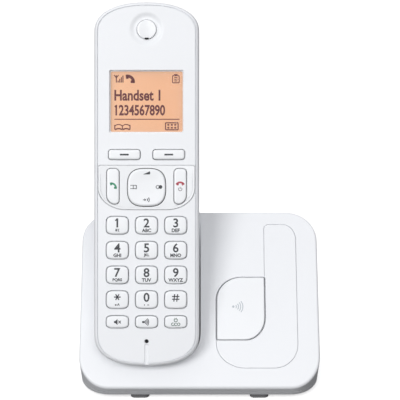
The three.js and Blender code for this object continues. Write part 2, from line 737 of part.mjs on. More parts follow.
function placeHandset() {
  place(handsetGroup, 'handset_front_cover', frontCover(), finish.cover);
  place(handsetGroup, 'handset_rear_cover', rearCover(), finish.cover);
  place(handsetGroup, 'battery_cover', batteryCoverShell(), finish.cover);
  place(handsetGroup, 'ear_cap', earCap(), finish.trim);
  place(handsetGroup, 'display_lens', displayLens(), finish.lens);
  place(handsetGroup, 'lcd_panel', lcdPanel(), finish.lcd);
  place(handsetGroup, 'lcd_holder', lcdHolder(), finish.lightGuide);
  place(handsetGroup, 'control_trim', controlTrim(), finish.trim);
  place(handsetGroup, 'receiver_capsule', receiverCapsule(), finish.black);
  place(handsetGroup, 'ringer_speaker', ringerSpeaker(), finish.black);
  place(handsetGroup, 'microphone', microphone(), finish.black);
  place(handsetGroup, 'keypad_mat', keypadMat(), finish.rubber);
  place(handsetGroup, 'handset_board', handsetBoard(), finish.board);
  place(handsetGroup, 'battery_link', batteryTerminal(-1), finish.contact);
  place(handsetGroup, 'battery_terminal', batteryTerminal(1), finish.contact);
  for (const [side, word] of [[-1, 'left'], [1, 'right']]) {
    place(handsetGroup, `battery_cell_${word}`, batteryCell(side), finish.cell);
    place(handsetGroup, `handset_contact_${word}`, contactBlock(side), finish.contact);
    place(handsetGroup, `handset_screw_${word}`, handsetScrewSolid(side), finish.steel);
  }
}

const keyNames = [
  ['key_1', 'key_2', 'key_3'],
  ['key_4', 'key_5', 'key_6'],
  ['key_7', 'key_8', 'key_9'],
  ['key_star', 'key_0', 'key_hash'],
];
const functionNames = ['key_mute', 'key_speaker', 'key_eco'];

function placeKeys() {
  keyNames.forEach((row, line) => row.forEach((name, column) => {
    const [x, y] = [keys.columns[column], keys.rows[line]];
    place(handsetGroup, name, boxKey(x, y, keys.width, keys.height, keys.corner), finish.key);
  }));
  functionNames.forEach((name, column) => {
    const { functionUp, functionHeight, functionCorner } = keys;
    const cap = boxKey(keys.columns[column], functionUp, keys.width, functionHeight, functionCorner);
    place(handsetGroup, name, cap, finish.key);
  });
  for (const [side, word, call] of [[-1, 'left', 'talk_key'], [1, 'right', 'off_key']]) {
    const { across, up: height, width, height: tall, corner } = softKey;
    place(handsetGroup, `soft_key_${word}`, boxKey(side * across, height, width, tall, corner), finish.key);
    place(handsetGroup, call, callKeyCap(side), finish.key);
  }
  place(handsetGroup, 'navigator_key', navigatorKey(), finish.key);
  place(handsetGroup, 'navigator_plunger', navigatorPlunger(), finish.rubber);
}

function placeBase() {
  place(baseGroup, 'base_top_cover', baseTopCover(), finish.cover);
  place(baseGroup, 'base_bottom_cover', baseBottomCover(), finish.cover);
  place(baseGroup, 'line_socket', lineSocketSolid(), finish.black);
  place(baseGroup, 'power_socket', powerSocketSolid(), finish.black);
  place(faceGroup, 'locator_button', locatorButton(), finish.key);
  place(faceGroup, 'locator_switch', locatorSwitchSolid(), finish.black);
  place(faceGroup, 'base_board', baseBoardSolid(), finish.board);
  for (const [side, word] of [[-1, 'left'], [1, 'right']]) {
    place(baseGroup, `base_screw_${word}`, baseScrewSolid(side), finish.steel);
    place(baseGroup, `charge_pin_${word}`, pinRod(side), finish.contact);
  }
  for (const [name, x, y] of footPlaces) place(baseGroup, name, footSolid(x, y), finish.foot);
}

placeHandset();
placeKeys();
placeBase();

// The origin goes to the middle of the space taken up, front to back.
const space = new THREE.Box3().setFromObject(phone, true);
phone.position.y = -(space.min.y + space.max.y) / 2;

export default phone;
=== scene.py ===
import json
import math

import bmesh
import bpy
from mathutils import Matrix, Vector

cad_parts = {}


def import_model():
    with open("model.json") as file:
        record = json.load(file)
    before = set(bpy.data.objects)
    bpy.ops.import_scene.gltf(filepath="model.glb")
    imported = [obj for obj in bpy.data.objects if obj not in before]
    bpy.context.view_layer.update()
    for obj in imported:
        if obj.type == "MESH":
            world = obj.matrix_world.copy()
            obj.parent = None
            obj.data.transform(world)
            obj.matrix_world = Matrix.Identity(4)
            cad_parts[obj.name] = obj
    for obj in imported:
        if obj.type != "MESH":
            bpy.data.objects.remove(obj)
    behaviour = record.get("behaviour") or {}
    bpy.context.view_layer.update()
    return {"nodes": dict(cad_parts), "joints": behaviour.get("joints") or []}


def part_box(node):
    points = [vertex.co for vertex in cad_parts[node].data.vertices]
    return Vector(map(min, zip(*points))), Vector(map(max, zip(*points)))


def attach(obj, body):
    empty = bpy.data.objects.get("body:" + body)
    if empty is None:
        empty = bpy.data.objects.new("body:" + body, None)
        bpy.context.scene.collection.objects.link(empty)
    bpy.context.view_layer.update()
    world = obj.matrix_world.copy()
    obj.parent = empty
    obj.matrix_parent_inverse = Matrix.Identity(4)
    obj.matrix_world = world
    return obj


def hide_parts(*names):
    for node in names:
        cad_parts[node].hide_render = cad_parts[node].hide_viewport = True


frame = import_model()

# A cordless telephone: a slim white handset standing in the cradle of a sloping charging base.
# Lengths are millimetres until a piece is finished, and then metres.

MM = 0.001
GAP = 0.3
KEY_GAP = 0.3
QUARTER = math.pi / 2


# ---------------------------------------------------------------- frames

class Seat:
    """A frame of its own for sloping pieces: x across, y up the slope, z out of it."""

    def __init__(self, origin, up, out):
        across = up.cross(out)
        self.turn = Matrix((across, up, out)).transposed().to_4x4()
        self.matrix = Matrix.Translation(origin) @ self.turn
        self.inverse = self.matrix.inverted()

    def span(self, node):
        """The lowest and highest corners of a node's box in this frame."""
        points = [self.inverse @ (v.co / MM) for v in frame["nodes"][node].data.vertices]
        low = Vector([min(p[i] for p in points) for i in range(3)])
        high = Vector([max(p[i] for p in points) for i in range(3)])
        return low, high

    def middle(self, node):
        low, high = self.span(node)
        return (low + high) / 2


def box_mm(node):
    """The lowest and highest corners and the middle of a node's box, upright, in millimetres."""
    low, high = (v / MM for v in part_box(node))
    return low, high, (low + high) / 2


def joint_axis(name):
    return Vector(next(j["axis"] for j in frame["joints"] if j["name"] == name)).normalized()


ground = Seat(Vector((0, 0, 0)), Vector((0, 1, 0)), Vector((0, 0, 1)))


def handset_seat():
    """The middle of the handset's lower end, on the plane of its front."""
    up, out = joint_axis("handset_lift"), -joint_axis("key_5_press")
    low, high = Seat(Vector(), up, out).span("handset_front_cover")
    turned = Seat(Vector(), up, out)
    return Seat(turned.turn @ Vector(((low.x + high.x) / 2, low.y, high.z)), up, out)


INLAY_RISE = 0.3
BUTTON_FOOT = 21.1  # from the face's front edge to the lowest part of the locator button


def face_seat():
    """The middle of the sloping face's front edge."""
    out = -joint_axis("locator_button_press")
    up = out.cross(Vector((1, 0, 0)))
    turned = Seat(Vector(), up, out)
    low, high = turned.span("base_top_cover")
    front = turned.span("locator_button")[0].y - BUTTON_FOOT
    return Seat(turned.turn @ Vector(((low.x + high.x) / 2, front, high.z - INLAY_RISE)), up, out)


hand = handset_seat()
face = face_seat()


# ---------------------------------------------------------------- outlines

def ellipse_corner(x, y, across, up, quarter, steps):
    """A quarter of an ellipse about a point, starting at one of its four quarters."""
    angles = [(quarter + i / steps) * QUARTER for i in range(steps + 1)]
    return [(x + across * math.cos(a), y + up * math.sin(a)) for a in angles]


def cornered(left, right, bottom, top, corners, grow=0.0, steps=8):
    """A rectangle's outline. Its corners are (across, up) pairs, from the lower right, anticlockwise."""
    left, right, bottom, top = left - grow, right + grow, bottom - grow, top + grow
    ends = ((right, bottom, -1, 1, 3), (right, top, -1, -1, 0),
            (left, top, 1, -1, 1), (left, bottom, 1, 1, 2))
    points = []
    for (x, y, in_x, in_y, quarter), (across, up) in zip(ends, corners):
        across, up = max(across + grow, 0.05), max(up + grow, 0.05)
        points += ellipse_corner(x + in_x * across, y + in_y * up, across, up, quarter, steps)
    return points


def bow(value, power):
    return math.copysign(abs(value) ** (2 / power), value)


def super_arc(half_width, half_height, power, start, end, lift, steps):
    """Part of a superellipse between two angles in quarter turns, raised by lift."""
    angles = [(start + (end - start) * i / steps) * QUARTER for i in range(steps + 1)]
    return [(half_width * bow(math.cos(a), power), lift + half_height * bow(math.sin(a), power))
            for a in angles]


def cushion(x, y, width, height, power, grow=0.0):
    """A rectangle with all its sides a little bowed: a superellipse."""
    points = super_arc(width / 2 + grow, height / 2 + grow, power, 0, 4, y, 96)[:-1]
    return [(x + px, py) for px, py in points]


HANDSET = dict(length=162.6, width=47, thickness=28, top_round=13.4, bottom_round=15, wall=1.8, seam=10)
TAPER_START, TAPER_DEPTH, TAPER_EASE = 108, 8, 28
CLEAR = 60  # how far the cutting tools reach, well past the handset


def handset_outline(grow=0.0, steps=40):
    """The handset from the front: a broad arch at the top and a fuller curve at the lower end."""
    half = HANDSET["width"] / 2 + grow
    low, high = HANDSET["bottom_round"], HANDSET["top_round"]
    lower = super_arc(half, low + grow, 2.5, -2, 0, low, steps)
    upper = super_arc(half, high + grow, 2.3, 0, 2, HANDSET["length"] - high, steps)
    return lower + upper


# ---------------------------------------------------------------- solids

def plate(points):
    """A flat face through the points, in the plane z = 0."""
    bm = bmesh.new()
    bm.faces.new([bm.verts.new((x, y, 0)) for x, y in points])
    return bm


def rounded_plate(x, y, width, height, radius, steps=6):
    """A flat rectangle with its four corners rounded."""
    bm = bmesh.new()
    bmesh.ops.create_grid(bm, x_segments=1, y_segments=1, size=0.5)
    bmesh.ops.scale(bm, vec=(width, height, 1), verts=bm.verts)
    bmesh.ops.translate(bm, vec=(x, y, 0), verts=bm.verts)
    bmesh.ops.bevel(bm, geom=bm.verts[:], offset=radius, offset_type="OFFSET", segments=steps,
                    profile=0.5, affect="VERTICES", material=-1)
    return bm


def disc_plate(x, y, radius, steps=48):
    bm = bmesh.new()
    bmesh.ops.create_circle(bm, cap_ends=True, radius=radius, segments=steps)
    bmesh.ops.translate(bm, vec=(x, y, 0), verts=bm.verts)
    return bm


def thicken(bm, low, high):
    """Gives a flat face its thickness."""
    bmesh.ops.translate(bm, vec=(0, 0, low), verts=bm.verts)
    made = bmesh.ops.extrude_face_region(bm, geom=bm.faces[:])["geom"]
    moved = [g for g in made if isinstance(g, bmesh.types.BMVert)]
    bmesh.ops.translate(bm, vec=(0, 0, high - low), verts=moved)
    bmesh.ops.recalc_face_normals(bm, faces=bm.faces)
    return bm


def end_face(bm, top=True):
    sign = 1 if top else -1
    flat = [f for f in bm.faces if abs(f.normal.z) > 0.99]
    return max(flat, key=lambda f: sign * f.calc_center_median().z)


def step_in(bm, end, inset, rise):
    """Insets a face in its own plane, then lifts it."""
    bmesh.ops.inset_region(bm, faces=[end], thickness=inset, use_even_offset=True, use_boundary=True)
    bmesh.ops.translate(bm, vec=(0, 0, rise), verts=end.verts)


def crown(bm, rise, top=True):
    """Domes an end a little: rings that close in on its middle as they rise (or sink)."""
    bm.faces.ensure_lookup_table()
    end = end_face(bm, top)
    sign = 1 if top else -1
    before = 0
    for share in (0.25, 0.5, 0.75):
        step_in(bm, end, 0, 0)
        middle = end.calc_center_median()
        size = (1 - share) / (1 - share + 0.25)
        bmesh.ops.scale(bm, vec=(size, size, 1), space=Matrix.Translation(-middle), verts=end.verts)
        height = rise * math.sin(share * QUARTER)
        bmesh.ops.translate(bm, vec=(0, 0, sign * (height - before)), verts=end.verts)
        before = height
    return bm


def soften(bm, depth, inset, steps=5, top=True):
    """Rounds an end's rim: it goes in by inset while it rises by depth."""
    bm.faces.ensure_lookup_table()
    end = end_face(bm, top)
    sign = 1 if top else -1
    for i in range(steps):
        a, b = i / steps * QUARTER, (i + 1) / steps * QUARTER
        step_in(bm, end, inset * (math.cos(a) - math.cos(b)), sign * depth * (math.sin(b) - math.sin(a)))
    return bm


def slab(points, low, high):
    return thicken(plate(points), low, high)


def soft_slab(bm, low, high, depth, inset, steps=5):
    """A flat face made thick, with its outer rim rounded within its height."""
    return soften(thicken(bm, low, high - depth), depth, inset, steps)


def block(x0, x1, y0, y1, z0, z1):
    bm = bmesh.new()
    bmesh.ops.create_cube(bm, size=1)
    bmesh.ops.scale(bm, vec=(x1 - x0, y1 - y0, z1 - z0), verts=bm.verts)
    bmesh.ops.translate(bm, vec=((x0 + x1) / 2, (y0 + y1) / 2, (z0 + z1) / 2), verts=bm.verts)
    return bm


def moved(bm, matrix):
    bmesh.ops.transform(bm, matrix=matrix, verts=bm.verts)
    return bm


# ---------------------------------------------------------------- objects

def raw_object(name, bm):
    """A working object in millimetres."""
    mesh = bpy.data.meshes.new(name)
    bm.to_mesh(mesh)
    bm.free()
    obj = bpy.data.objects.new(name, mesh)
    bpy.context.scene.collection.objects.link(obj)
    return obj


def discard(obj):
    mesh = obj.data
    bpy.data.objects.remove(obj)
    bpy.data.meshes.remove(mesh)


def apply_modifiers(obj):
    bpy.context.view_layer.update()
    graph = bpy.context.evaluated_depsgraph_get()
    made = bpy.data.meshes.new_from_object(obj.evaluated_get(graph))
    obj.modifiers.clear()
    old, obj.data = obj.data, made
    bpy.data.meshes.remove(old)
    return obj


def combine(obj, operation, *tools):
    """Cuts or joins whole solids, one after another."""
    for bm in tools:
        tool = bm if isinstance(bm, bpy.types.Object) else raw_object("tool", bm)
        step = obj.modifiers.new("step", "BOOLEAN")
        step.operation = operation
        step.solver = "EXACT"
        step.object = tool
        apply_modifiers(obj)
        discard(tool)
    return obj


def cut(obj, *tools):
    return combine(obj, "DIFFERENCE", *tools)


def join(obj, *tools):
    return combine(obj, "UNION", *tools)


def keep(obj, *tools):
    return combine(obj, "INTERSECT", *tools)


SHARP = math.radians(32)


BROAD_FACE = 150 * MM * MM
LEVEL = math.radians(0.05)


def broad_faces(mesh):
    """Faces that lie together in one large plane, such as a cover's front."""
    bm = bmesh.new()
    bm.from_mesh(mesh)
    level = {e for e in bm.edges if len(e.link_faces) == 2 and e.calc_face_angle(1.0) < LEVEL}
    broad, seen = set(), set()
    for first in bm.faces:
        if first in seen:
            continue
        group, waiting = [], [first]
        seen.add(first)
        while waiting:
            face = waiting.pop()
            group.append(face)
            for other in (f for e in face.edges if e in level for f in e.link_faces):
                if other not in seen:
                    seen.add(other)
                    waiting.append(other)
        if sum(f.calc_area() for f in group) > BROAD_FACE:
            broad.update(f.index for f in group)
    bm.free()
    return broad


def shade(mesh, sharp=SHARP):
    """Smooth, except for broad flat faces and sharp edges."""
    broad = broad_faces(mesh)
    mesh.set_sharp_from_angle(angle=sharp)
    mesh.polygons.foreach_set("use_smooth", [p.index not in broad for p in mesh.polygons])


def finish(obj, seat, body, material, replaces=(), sharp=SHARP):
    """Puts a working object into place, in metres, on its body."""
    mesh = obj.data
    mesh.transform(Matrix.Scale(MM, 4) @ seat.matrix)
    mesh.materials.clear()
    mesh.materials.append(material)
    bm = bmesh.new()
    bm.from_mesh(mesh)
    bmesh.ops.remove_doubles(bm, verts=bm.verts, dist=1e-7)
    bmesh.ops.dissolve_degenerate(bm, edges=bm.edges, dist=1e-7)
    bm.to_mesh(mesh)
    bm.free()
    shade(mesh, sharp)
    even = obj.modifiers.new("even_shading", "WEIGHTED_NORMAL")
    even.keep_sharp = True
    even.weight = 80
    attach(obj, body)
    if replaces:
        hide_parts(*replaces)
    return obj


# ---------------------------------------------------------------- shader maths

class Wire:
    """A socket that can be added, multiplied and so on, each adding its Math node."""

    def __init__(self, nodes, socket):
        self.nodes, self.socket = nodes, socket

    def maths(self, operation, *values):
        return self.nodes.add("ShaderNodeMath", {"operation": operation}, dict(enumerate(values)))

    def __add__(self, other):
        return self.maths("ADD", self, other)

    def __radd__(self, other):
        return self.maths("ADD", other, self)

    def __sub__(self, other):
        return self.maths("SUBTRACT", self, other)

    def __rsub__(self, other):
        return self.maths("SUBTRACT", other, self)

    def __mul__(self, other):
        return self.maths("MULTIPLY", self, other)

    def __rmul__(self, other):
        return self.maths("MULTIPLY", other, self)

    def __pow__(self, other):
        return self.maths("POWER", self, other)


class Nodes:
    """A new material's node tree, with its main shader."""

    def __init__(self, name):
        self.material = bpy.data.materials.new(name)
        self.material.use_nodes = True
        self.tree = self.material.node_tree
        self.shader = self.tree.nodes["Principled BSDF"]

    def add(self, kind, settings=None, inputs=None, output=0):
        node = self.tree.nodes.new(kind)
        for key, value in (settings or {}).items():
            if key == "stops":
                self.set_stops(node.color_ramp, value)
            else:
                setattr(node, key, value)
        for key, value in (inputs or {}).items():
            self.feed(node.inputs[key], value)
        return Wire(self, node.outputs[output])

    @staticmethod
    def set_stops(ramp, stops):
        while len(ramp.elements) < len(stops):
            ramp.elements.new(1)
        for element, (position, color) in zip(ramp.elements, stops):
            element.position, element.color = position, color

    def feed(self, socket, value):
        if isinstance(value, Wire):
            self.tree.links.new(value.socket, socket)
        else:
            socket.default_value = value

    def set(self, **values):
        for key, value in values.items():
            self.feed(self.shader.inputs[key.replace("_", " ")], value)

    def place(self):
        return self.add("ShaderNodeTexCoord", output=3)

    def noise(self, scale, detail=2.0, roughness=0.5, place=None):
        inputs = {"Vector": place or self.place(), "Scale": scale, "Detail": detail, "Roughness": roughness}
        return self.add("ShaderNodeTexNoise", {}, inputs)

    def mix(self, factor, first, second):
        return self.add("ShaderNodeMix", {"data_type": "RGBA"}, {0: factor, 6: first, 7: second}, output=2)

    def bump(self, height, strength, distance):
        return self.add("ShaderNodeBump", {}, {"Height": height, "Strength": strength, "Distance": distance})


def rgb(red, green, blue):
    return (red, green, blue, 1.0)


def moulded(name, color, roughness, grain=0.12, grain_scale=5200, coat=0.0):
    """Moulded plastic: a very fine grain, a faint unevenness of tone and of gloss."""
    nodes = Nodes(name)
    cloud = nodes.noise(38, 3)
    fine = nodes.noise(grain_scale, 2, 0.6)
    shade_of = [c * 0.965 for c in color]
    nodes.set(Base_Color=nodes.mix(cloud, rgb(*shade_of), rgb(*color)))
    nodes.set(Roughness=cloud * 0.08 + fine * 0.05 + (roughness - 0.065))
    nodes.set(Normal=nodes.bump(fine, grain, 0.00003))
    nodes.set(Coat_Weight=coat, Coat_Roughness=0.12)
    nodes.set(IOR=1.5)
    return nodes.material


def printed(name, color, roughness=0.55):
    """Ink laid on plastic, a little uneven in its cover."""
    nodes = Nodes(name)
    speckle = nodes.noise(9000, 2)
    lighter = [min(1, c * 1.25 + 0.01) for c in color]
    nodes.set(Base_Color=nodes.mix(speckle, rgb(*color), rgb(*lighter)))
    nodes.set(Roughness=speckle * 0.1 + (roughness - 0.05))
    return nodes.material


def rubber(name, color):
    nodes = Nodes(name)
    grit = nodes.noise(3200, 4, 0.65)
    darker = [c * 0.7 for c in color]
    nodes.set(Base_Color=nodes.mix(grit, rgb(*darker), rgb(*color)))
    nodes.set(Roughness=grit * 0.12 + 0.76)
    nodes.set(Normal=nodes.bump(grit, 0.35, 0.00005))
    return nodes.material


def metal(name, color, roughness, brushed=1.0):
    """Bright metal, drawn along one way."""
    nodes = Nodes(name)
    drawn = nodes.add("ShaderNodeMapping", {}, {"Vector": nodes.place(), "Scale": (1, brushed, 1)})
    lines = nodes.noise(2600, 3, 0.6, drawn)
    darker = [c * 0.82 for c in color]
    nodes.set(Base_Color=nodes.mix(lines, rgb(*darker), rgb(*color)))
    nodes.set(Metallic=1.0, Roughness=lines * 0.16 + (roughness - 0.08))
    nodes.set(Normal=nodes.bump(lines, 0.15, 0.00002))
    return nodes.material


def solder_mask(name):
    """Green board lacquer with faint copper runs under it."""
    nodes = Nodes(name)
    tracks = nodes.add("ShaderNodeTexVoronoi", {"feature": "DISTANCE_TO_EDGE"},
                       {"Vector": nodes.place(), "Scale": 420})
    stops = ((0.0, rgb(1, 1, 1)), (0.09, rgb(0, 0, 0)))
    runs = nodes.add("ShaderNodeValToRGB", {"stops": stops}, {"Fac": tracks})
    nodes.set(Base_Color=nodes.mix(runs, rgb(0.02, 0.11, 0.05), rgb(0.05, 0.22, 0.09)))
    nodes.set(Roughness=0.32)
    nodes.set(Normal=nodes.bump(tracks, 0.2, 0.00003))
    return nodes.material


def cell_sleeve(name):
    """A shrunk plastic sleeve on a dry cell, banded along its length."""
    nodes = Nodes(name)
    cloud = nodes.noise(160, 3)
    nodes.set(Base_Color=nodes.mix(cloud, rgb(0.03, 0.2, 0.08), rgb(0.06, 0.32, 0.13)))
    nodes.set(Roughness=cloud * 0.1 + 0.28)
    nodes.set(Normal=nodes.bump(cloud, 0.1, 0.0001))
    return nodes.material


WHITE = (0.84, 0.855, 0.88)
cover_white = moulded("cover_white", WHITE, 0.42)
key_white = moulded("key_white", (0.86, 0.875, 0.895), 0.33, grain=0.05)
trim_white = moulded("trim_white", (0.85, 0.865, 0.885), 0.2, grain=0.03, coat=0.5)
mark_grey = printed("mark_grey", (0.035, 0.038, 0.045))
power_grey = printed("power_grey", (0.13, 0.09, 0.1))
pale_grey = printed("pale_grey", (0.42, 0.45, 0.49))
mark_green = printed("mark_green", (0.04, 0.25, 0.14))
eco_green = printed("eco_green", (0.07, 0.13, 0.1))
mark_red = printed("mark_red", (0.42, 0.06, 0.085))
foot_rubber = rubber("foot_rubber", (0.21, 0.212, 0.218))
# The keypad mat's rubber: its dark grey is partly the mat's own colour and partly painted shade, so the gaps
# between the keys read dark.
key_rubber = rubber("key_rubber", (0.2, 0.2, 0.205))
black_plastic = moulded("black_plastic", (0.022, 0.022, 0.025), 0.45)
contact_metal = metal("contact_metal", (0.86, 0.8, 0.62), 0.24, 0.1)
screw_steel = metal("screw_steel", (0.62, 0.63, 0.65), 0.3)
board_green = solder_mask("board_green")
sleeve_green = cell_sleeve("sleeve_green")
milky = moulded("milky", (0.75, 0.73, 0.68), 0.5)
# Painted shade: near-black plastic that stands in for the shade inside the ear slot.
slot_shade_black = moulded("slot_shade_black", (0.006, 0.006, 0.007), 0.8, grain=0.4)


# ---------------------------------------------------------------- handset covers

GROOVE_OUT, GROOVE_IN, GROOVE_DEPTH = 1.45, 1.85, 0.8
RIM_DEPTH, RIM_INSET = 2.2, 1.8
BACK_DEPTH, BACK_INSET = 7, 5
FLARE = 0.22
PAST = 0.02  # how far a cutting tool passes a surface, so that the two never lie together


def flared(bm, low, surface):
    """A cutting tool through a cover that opens out a little at its surface, as a moulded edge does."""
    thicken(bm, low, surface - FLARE)
    step_in(bm, end_face(bm), -FLARE - PAST, FLARE + PAST)
    step_in(bm, end_face(bm), -PAST, 1)
    return bm


DIGIT_KEYS = [f"key_{name}" for name in ("1", "2", "3", "4", "5", "6", "7", "8", "9", "star", "0", "hash")]
FUNCTION_KEYS = ["key_mute", "key_speaker", "key_eco"]
SOFT_KEYS = ["soft_key_left", "soft_key_right"]
KEY_SIZE = {"digit": (9.7, 7.7, 4.2), "function": (9.7, 5.3, 4.0), "soft": (14.0, 4.3, 0)}
KEY_KIND = {node: kind for kind, nodes in
            (("digit", DIGIT_KEYS), ("function", FUNCTION_KEYS), ("soft", SOFT_KEYS)) for node in nodes}

SCREEN = dict(width=33.0, height=27.8, corner=0.8, ledge=0.4, lens=1.0)
SOUND_HOLE = 0.9
TRIM = dict(side=21.5, top=89.6, bottom=69.9, corner=(1, 1), lower=(12.5, 9.5))


def key_outline(node, grow=0.0):
    """A key from the front: cushion-shaped, or for the soft keys a rounded bar."""
    x, y = hand.middle(node).xy
    width, height, power = KEY_SIZE[KEY_KIND[node]]
    if power:
        return cushion(x, y, width, height, power, grow)
    corners = ((1.2, 1.2),) * 4
    return cornered(x - width / 2, x + width / 2, y - height / 2, y + height / 2, corners, grow)


def trim_outline(grow=0.0):
    corners = (TRIM["lower"], TRIM["corner"], TRIM["corner"], TRIM["lower"])
    return cornered(-TRIM["side"], TRIM["side"], TRIM["bottom"], TRIM["top"], corners, grow, 12)


def call_key_outline(side, grow=0.0):
    """The talk and off keys: narrow, with the lower outer corner cut away in a longer curve."""
    outer, inner, upper = (3.6, 4), (1.7, 1.7), (1.9, 1.9)
    corners = (inner, upper, upper, outer) if side < 0 else (outer, upper, upper, inner)
    return cornered(side * 15 - 2.75, side * 15 + 2.75, 72.4, 88.2, corners, grow)


def navigator_outline(grow=0.0):
    x, y = hand.middle("navigator_key").xy
    return cushion(x, y, 16.9, 16.7, 2.9, grow)


def band(outer, inner, low, high):
    """A closed ring between two outlines."""
    return cut(raw_object("band", slab(outer, low, high)), slab(inner, low - 1, high + 1))


EAR = dict(radius=4.3, gap=0.22, dish=7.9, fall=2.6, depth=0.62, pocket=1.5, slot=4.1)


def ear_dish(x, y):
    """A tool that sinks a shallow dish with no hard edge."""
    bm = thicken(disc_plate(x, y, EAR["dish"], 72), -0.005, 1)
    end = end_face(bm, top=False)
    steps = 9
    depth = [EAR["depth"] * (1 - math.cos(math.pi * i / steps)) / 2 for i in range(steps + 1)]
    for before, after in zip(depth, depth[1:]):
        step_in(bm, end, EAR["fall"] / steps, before - after)
    return bm


def handset_front():
    """The front cover with every opening that a key, the window or the trim comes through."""
    seam, wall = -HANDSET["seam"], HANDSET["wall"]
    body = soft_slab(plate(handset_outline()), seam, 0, RIM_DEPTH, RIM_INSET, 7)
    cover = raw_object("handset_front_shell", body)
    cut(cover, slab(handset_outline(-wall), seam - 1, -wall))
    cut(cover, band(handset_outline(-GROOVE_OUT), handset_outline(-GROOVE_IN), -GROOVE_DEPTH, 1))
    for node in KEY_KIND:
        cut(cover, flared(plate(key_outline(node, KEY_GAP)), seam, 0))
    middle = hand.middle("display_lens")
    room = rounded_plate(middle.x, middle.y, SCREEN["width"] + GAP, SCREEN["height"] + GAP, SCREEN["corner"])
    cut(cover, thicken(room, -SCREEN["lens"] - GAP, 1))
    window = (SCREEN["width"] - 2 * SCREEN["ledge"], SCREEN["height"] - 2 * SCREEN["ledge"])
    cut(cover, thicken(rounded_plate(middle.x, middle.y, *window, SCREEN["corner"]), seam, 1))
    cut(cover, slab(trim_outline(0.22), -1 - GAP, 1), slab(trim_outline(-0.8), seam, 1))
    middle = hand.middle("ear_cap")
    cut(cover, ear_dish(middle.x, middle.y))
    cut(cover, thicken(disc_plate(middle.x, middle.y, EAR["radius"] + EAR["gap"], 64), -EAR["pocket"], 1))
    cut(cover, thicken(disc_plate(middle.x, middle.y, 3.4), seam, 1))
    middle = hand.middle("microphone")
    cut(cover, flared(disc_plate(middle.x, middle.y, SOUND_HOLE, 24), seam, 0))
    groove = rounded_plate(middle.x, 4.4, 2.1, 11.4, 1.0)
    cut(cover, soften(thicken(groove, 0.05, 1), 0.5, 0.7, 4, top=False))
    return finish(cover, hand, "handset", cover_white, ["handset_front_cover"])


def back_form(inset, steps=8):
    """The handset's back half, shrunk all round, with its back rim broadly rounded."""
    seam = -HANDSET["seam"] - GAP
    bottom = -HANDSET["thickness"] + inset
    bm = thicken(plate(handset_outline(-inset)), bottom + BACK_DEPTH, seam)
    return soften(bm, BACK_DEPTH, BACK_INSET, steps, top=False)


def side_wedge(points, half):
    """A side view drawn with y across and z up, carried across the handset."""
    bm = thicken(plate(points), -half, half)
    return moved(bm, Matrix(((0, 0, 1, 0), (1, 0, 0, 0), (0, 1, 0, 0), (0, 0, 0, 1))))


def top_taper():
    """What the thinner top of the back leaves away."""
    length, thickness = HANDSET["length"], HANDSET["thickness"]
    slope = TAPER_DEPTH / (length - TAPER_START)
    far, start = length + 20, TAPER_START - TAPER_EASE / 2
    ease = [(start + TAPER_EASE * t, -thickness + slope * TAPER_EASE * t * t / 2)
            for t in (0, 0.25, 0.5, 0.75, 1)]
    end = -thickness + slope * (far - TAPER_START)
    return side_wedge([(start, -CLEAR)] + ease + [(far, end), (far, -CLEAR)], CLEAR)


COVER = dict(bottom=22, top=104, wall=2, edge=21.7)


def slide_zone(grow):
    return block(-CLEAR, CLEAR, -CLEAR, COVER["top"] + grow, -80, grow - COVER["edge"])


def handset_rear():
    """The rear cover: sunk under the battery cover, open to the cells, tapered at the top."""
    seam, wall = -HANDSET["seam"], HANDSET["wall"]
    shell = raw_object("handset_rear_shell", back_form(0))
    cut(shell, slide_zone(GAP))
    sunk = raw_object("sunk", back_form(COVER["wall"] + GAP))
    keep(sunk, slide_zone(GAP + 0.001))
    join(shell, sunk)
    cut(shell, top_taper())
    low, high = hand.span("battery_link")[0], hand.span("battery_terminal")[1]
    ceiling = hand.span("battery_cell_left")[1].z + 0.4
    cut(shell, block(-12.6, 12.6, low.y - GAP, high.y + GAP, -CLEAR, ceiling))
    cut(shell, slab(handset_outline(-wall), ceiling + wall, seam + 1))
    low, high = hand.span("ringer_speaker")
    well = keep(raw_object("well", slab(handset_outline(-2 * wall), low.z - GAP, seam + 1)),
                block(-CLEAR, CLEAR, COVER["top"], 148.5, -CLEAR, CLEAR))
    cut(shell, well)
    cut_ringer_slots(shell, low)
    for word in ("left", "right"):
        low, high = hand.span(f"handset_contact_{word}")
        cut(shell, block(low.x - GAP, high.x + GAP, -2, high.y + GAP, low.z - GAP, high.z + GAP))
        low, high = hand.span(f"handset_screw_{word}")
        middle = (low + high) / 2
        cut(shell, thicken(disc_plate(middle.x, middle.y, 2.1, 32), -CLEAR, low.z + 1.7))
        cut(shell, thicken(disc_plate(middle.x, middle.y, 1.2, 24), -CLEAR, 0))
    return finish(shell, hand, "handset", cover_white, ["handset_rear_cover"])


def cut_ringer_slots(shell, low):
    """A fan of short slots over the ringer."""
    middle = hand.middle("ringer_speaker")
    for i in range(-2, 3):
        half = 5.2 - abs(i) * 1.1
        slot = rounded_plate(middle.x, middle.y + i * 2.4, 2 * half, 1.0, 0.49, 4)
        cut(shell, thicken(slot, -CLEAR, low.z))


def battery_door():
    """The battery cover: a shallow channel with a ribbed thumb grip at its upper end."""
    door = raw_object("battery_door", back_form(0))
    cut(door, back_form(COVER["wall"]))
    keep(door, block(-CLEAR, CLEAR, COVER["bottom"], COVER["top"], -80, -COVER["edge"]))
    for i in range(5):
        rib = rounded_plate(0, COVER["top"] - 9 - i * 2.2, 15 - abs(i - 2) * 1.6, 0.9, 0.44, 4)
        groove = soften(thicken(rib, -HANDSET["thickness"] - 1, -HANDSET["thickness"] + 0.1), 0.3, 0.2, 3)
        cut(door, groove)
    return finish(door, hand, "battery_cover", cover_white, ["battery_cover"])


# ---------------------------------------------------------------- handset front pieces

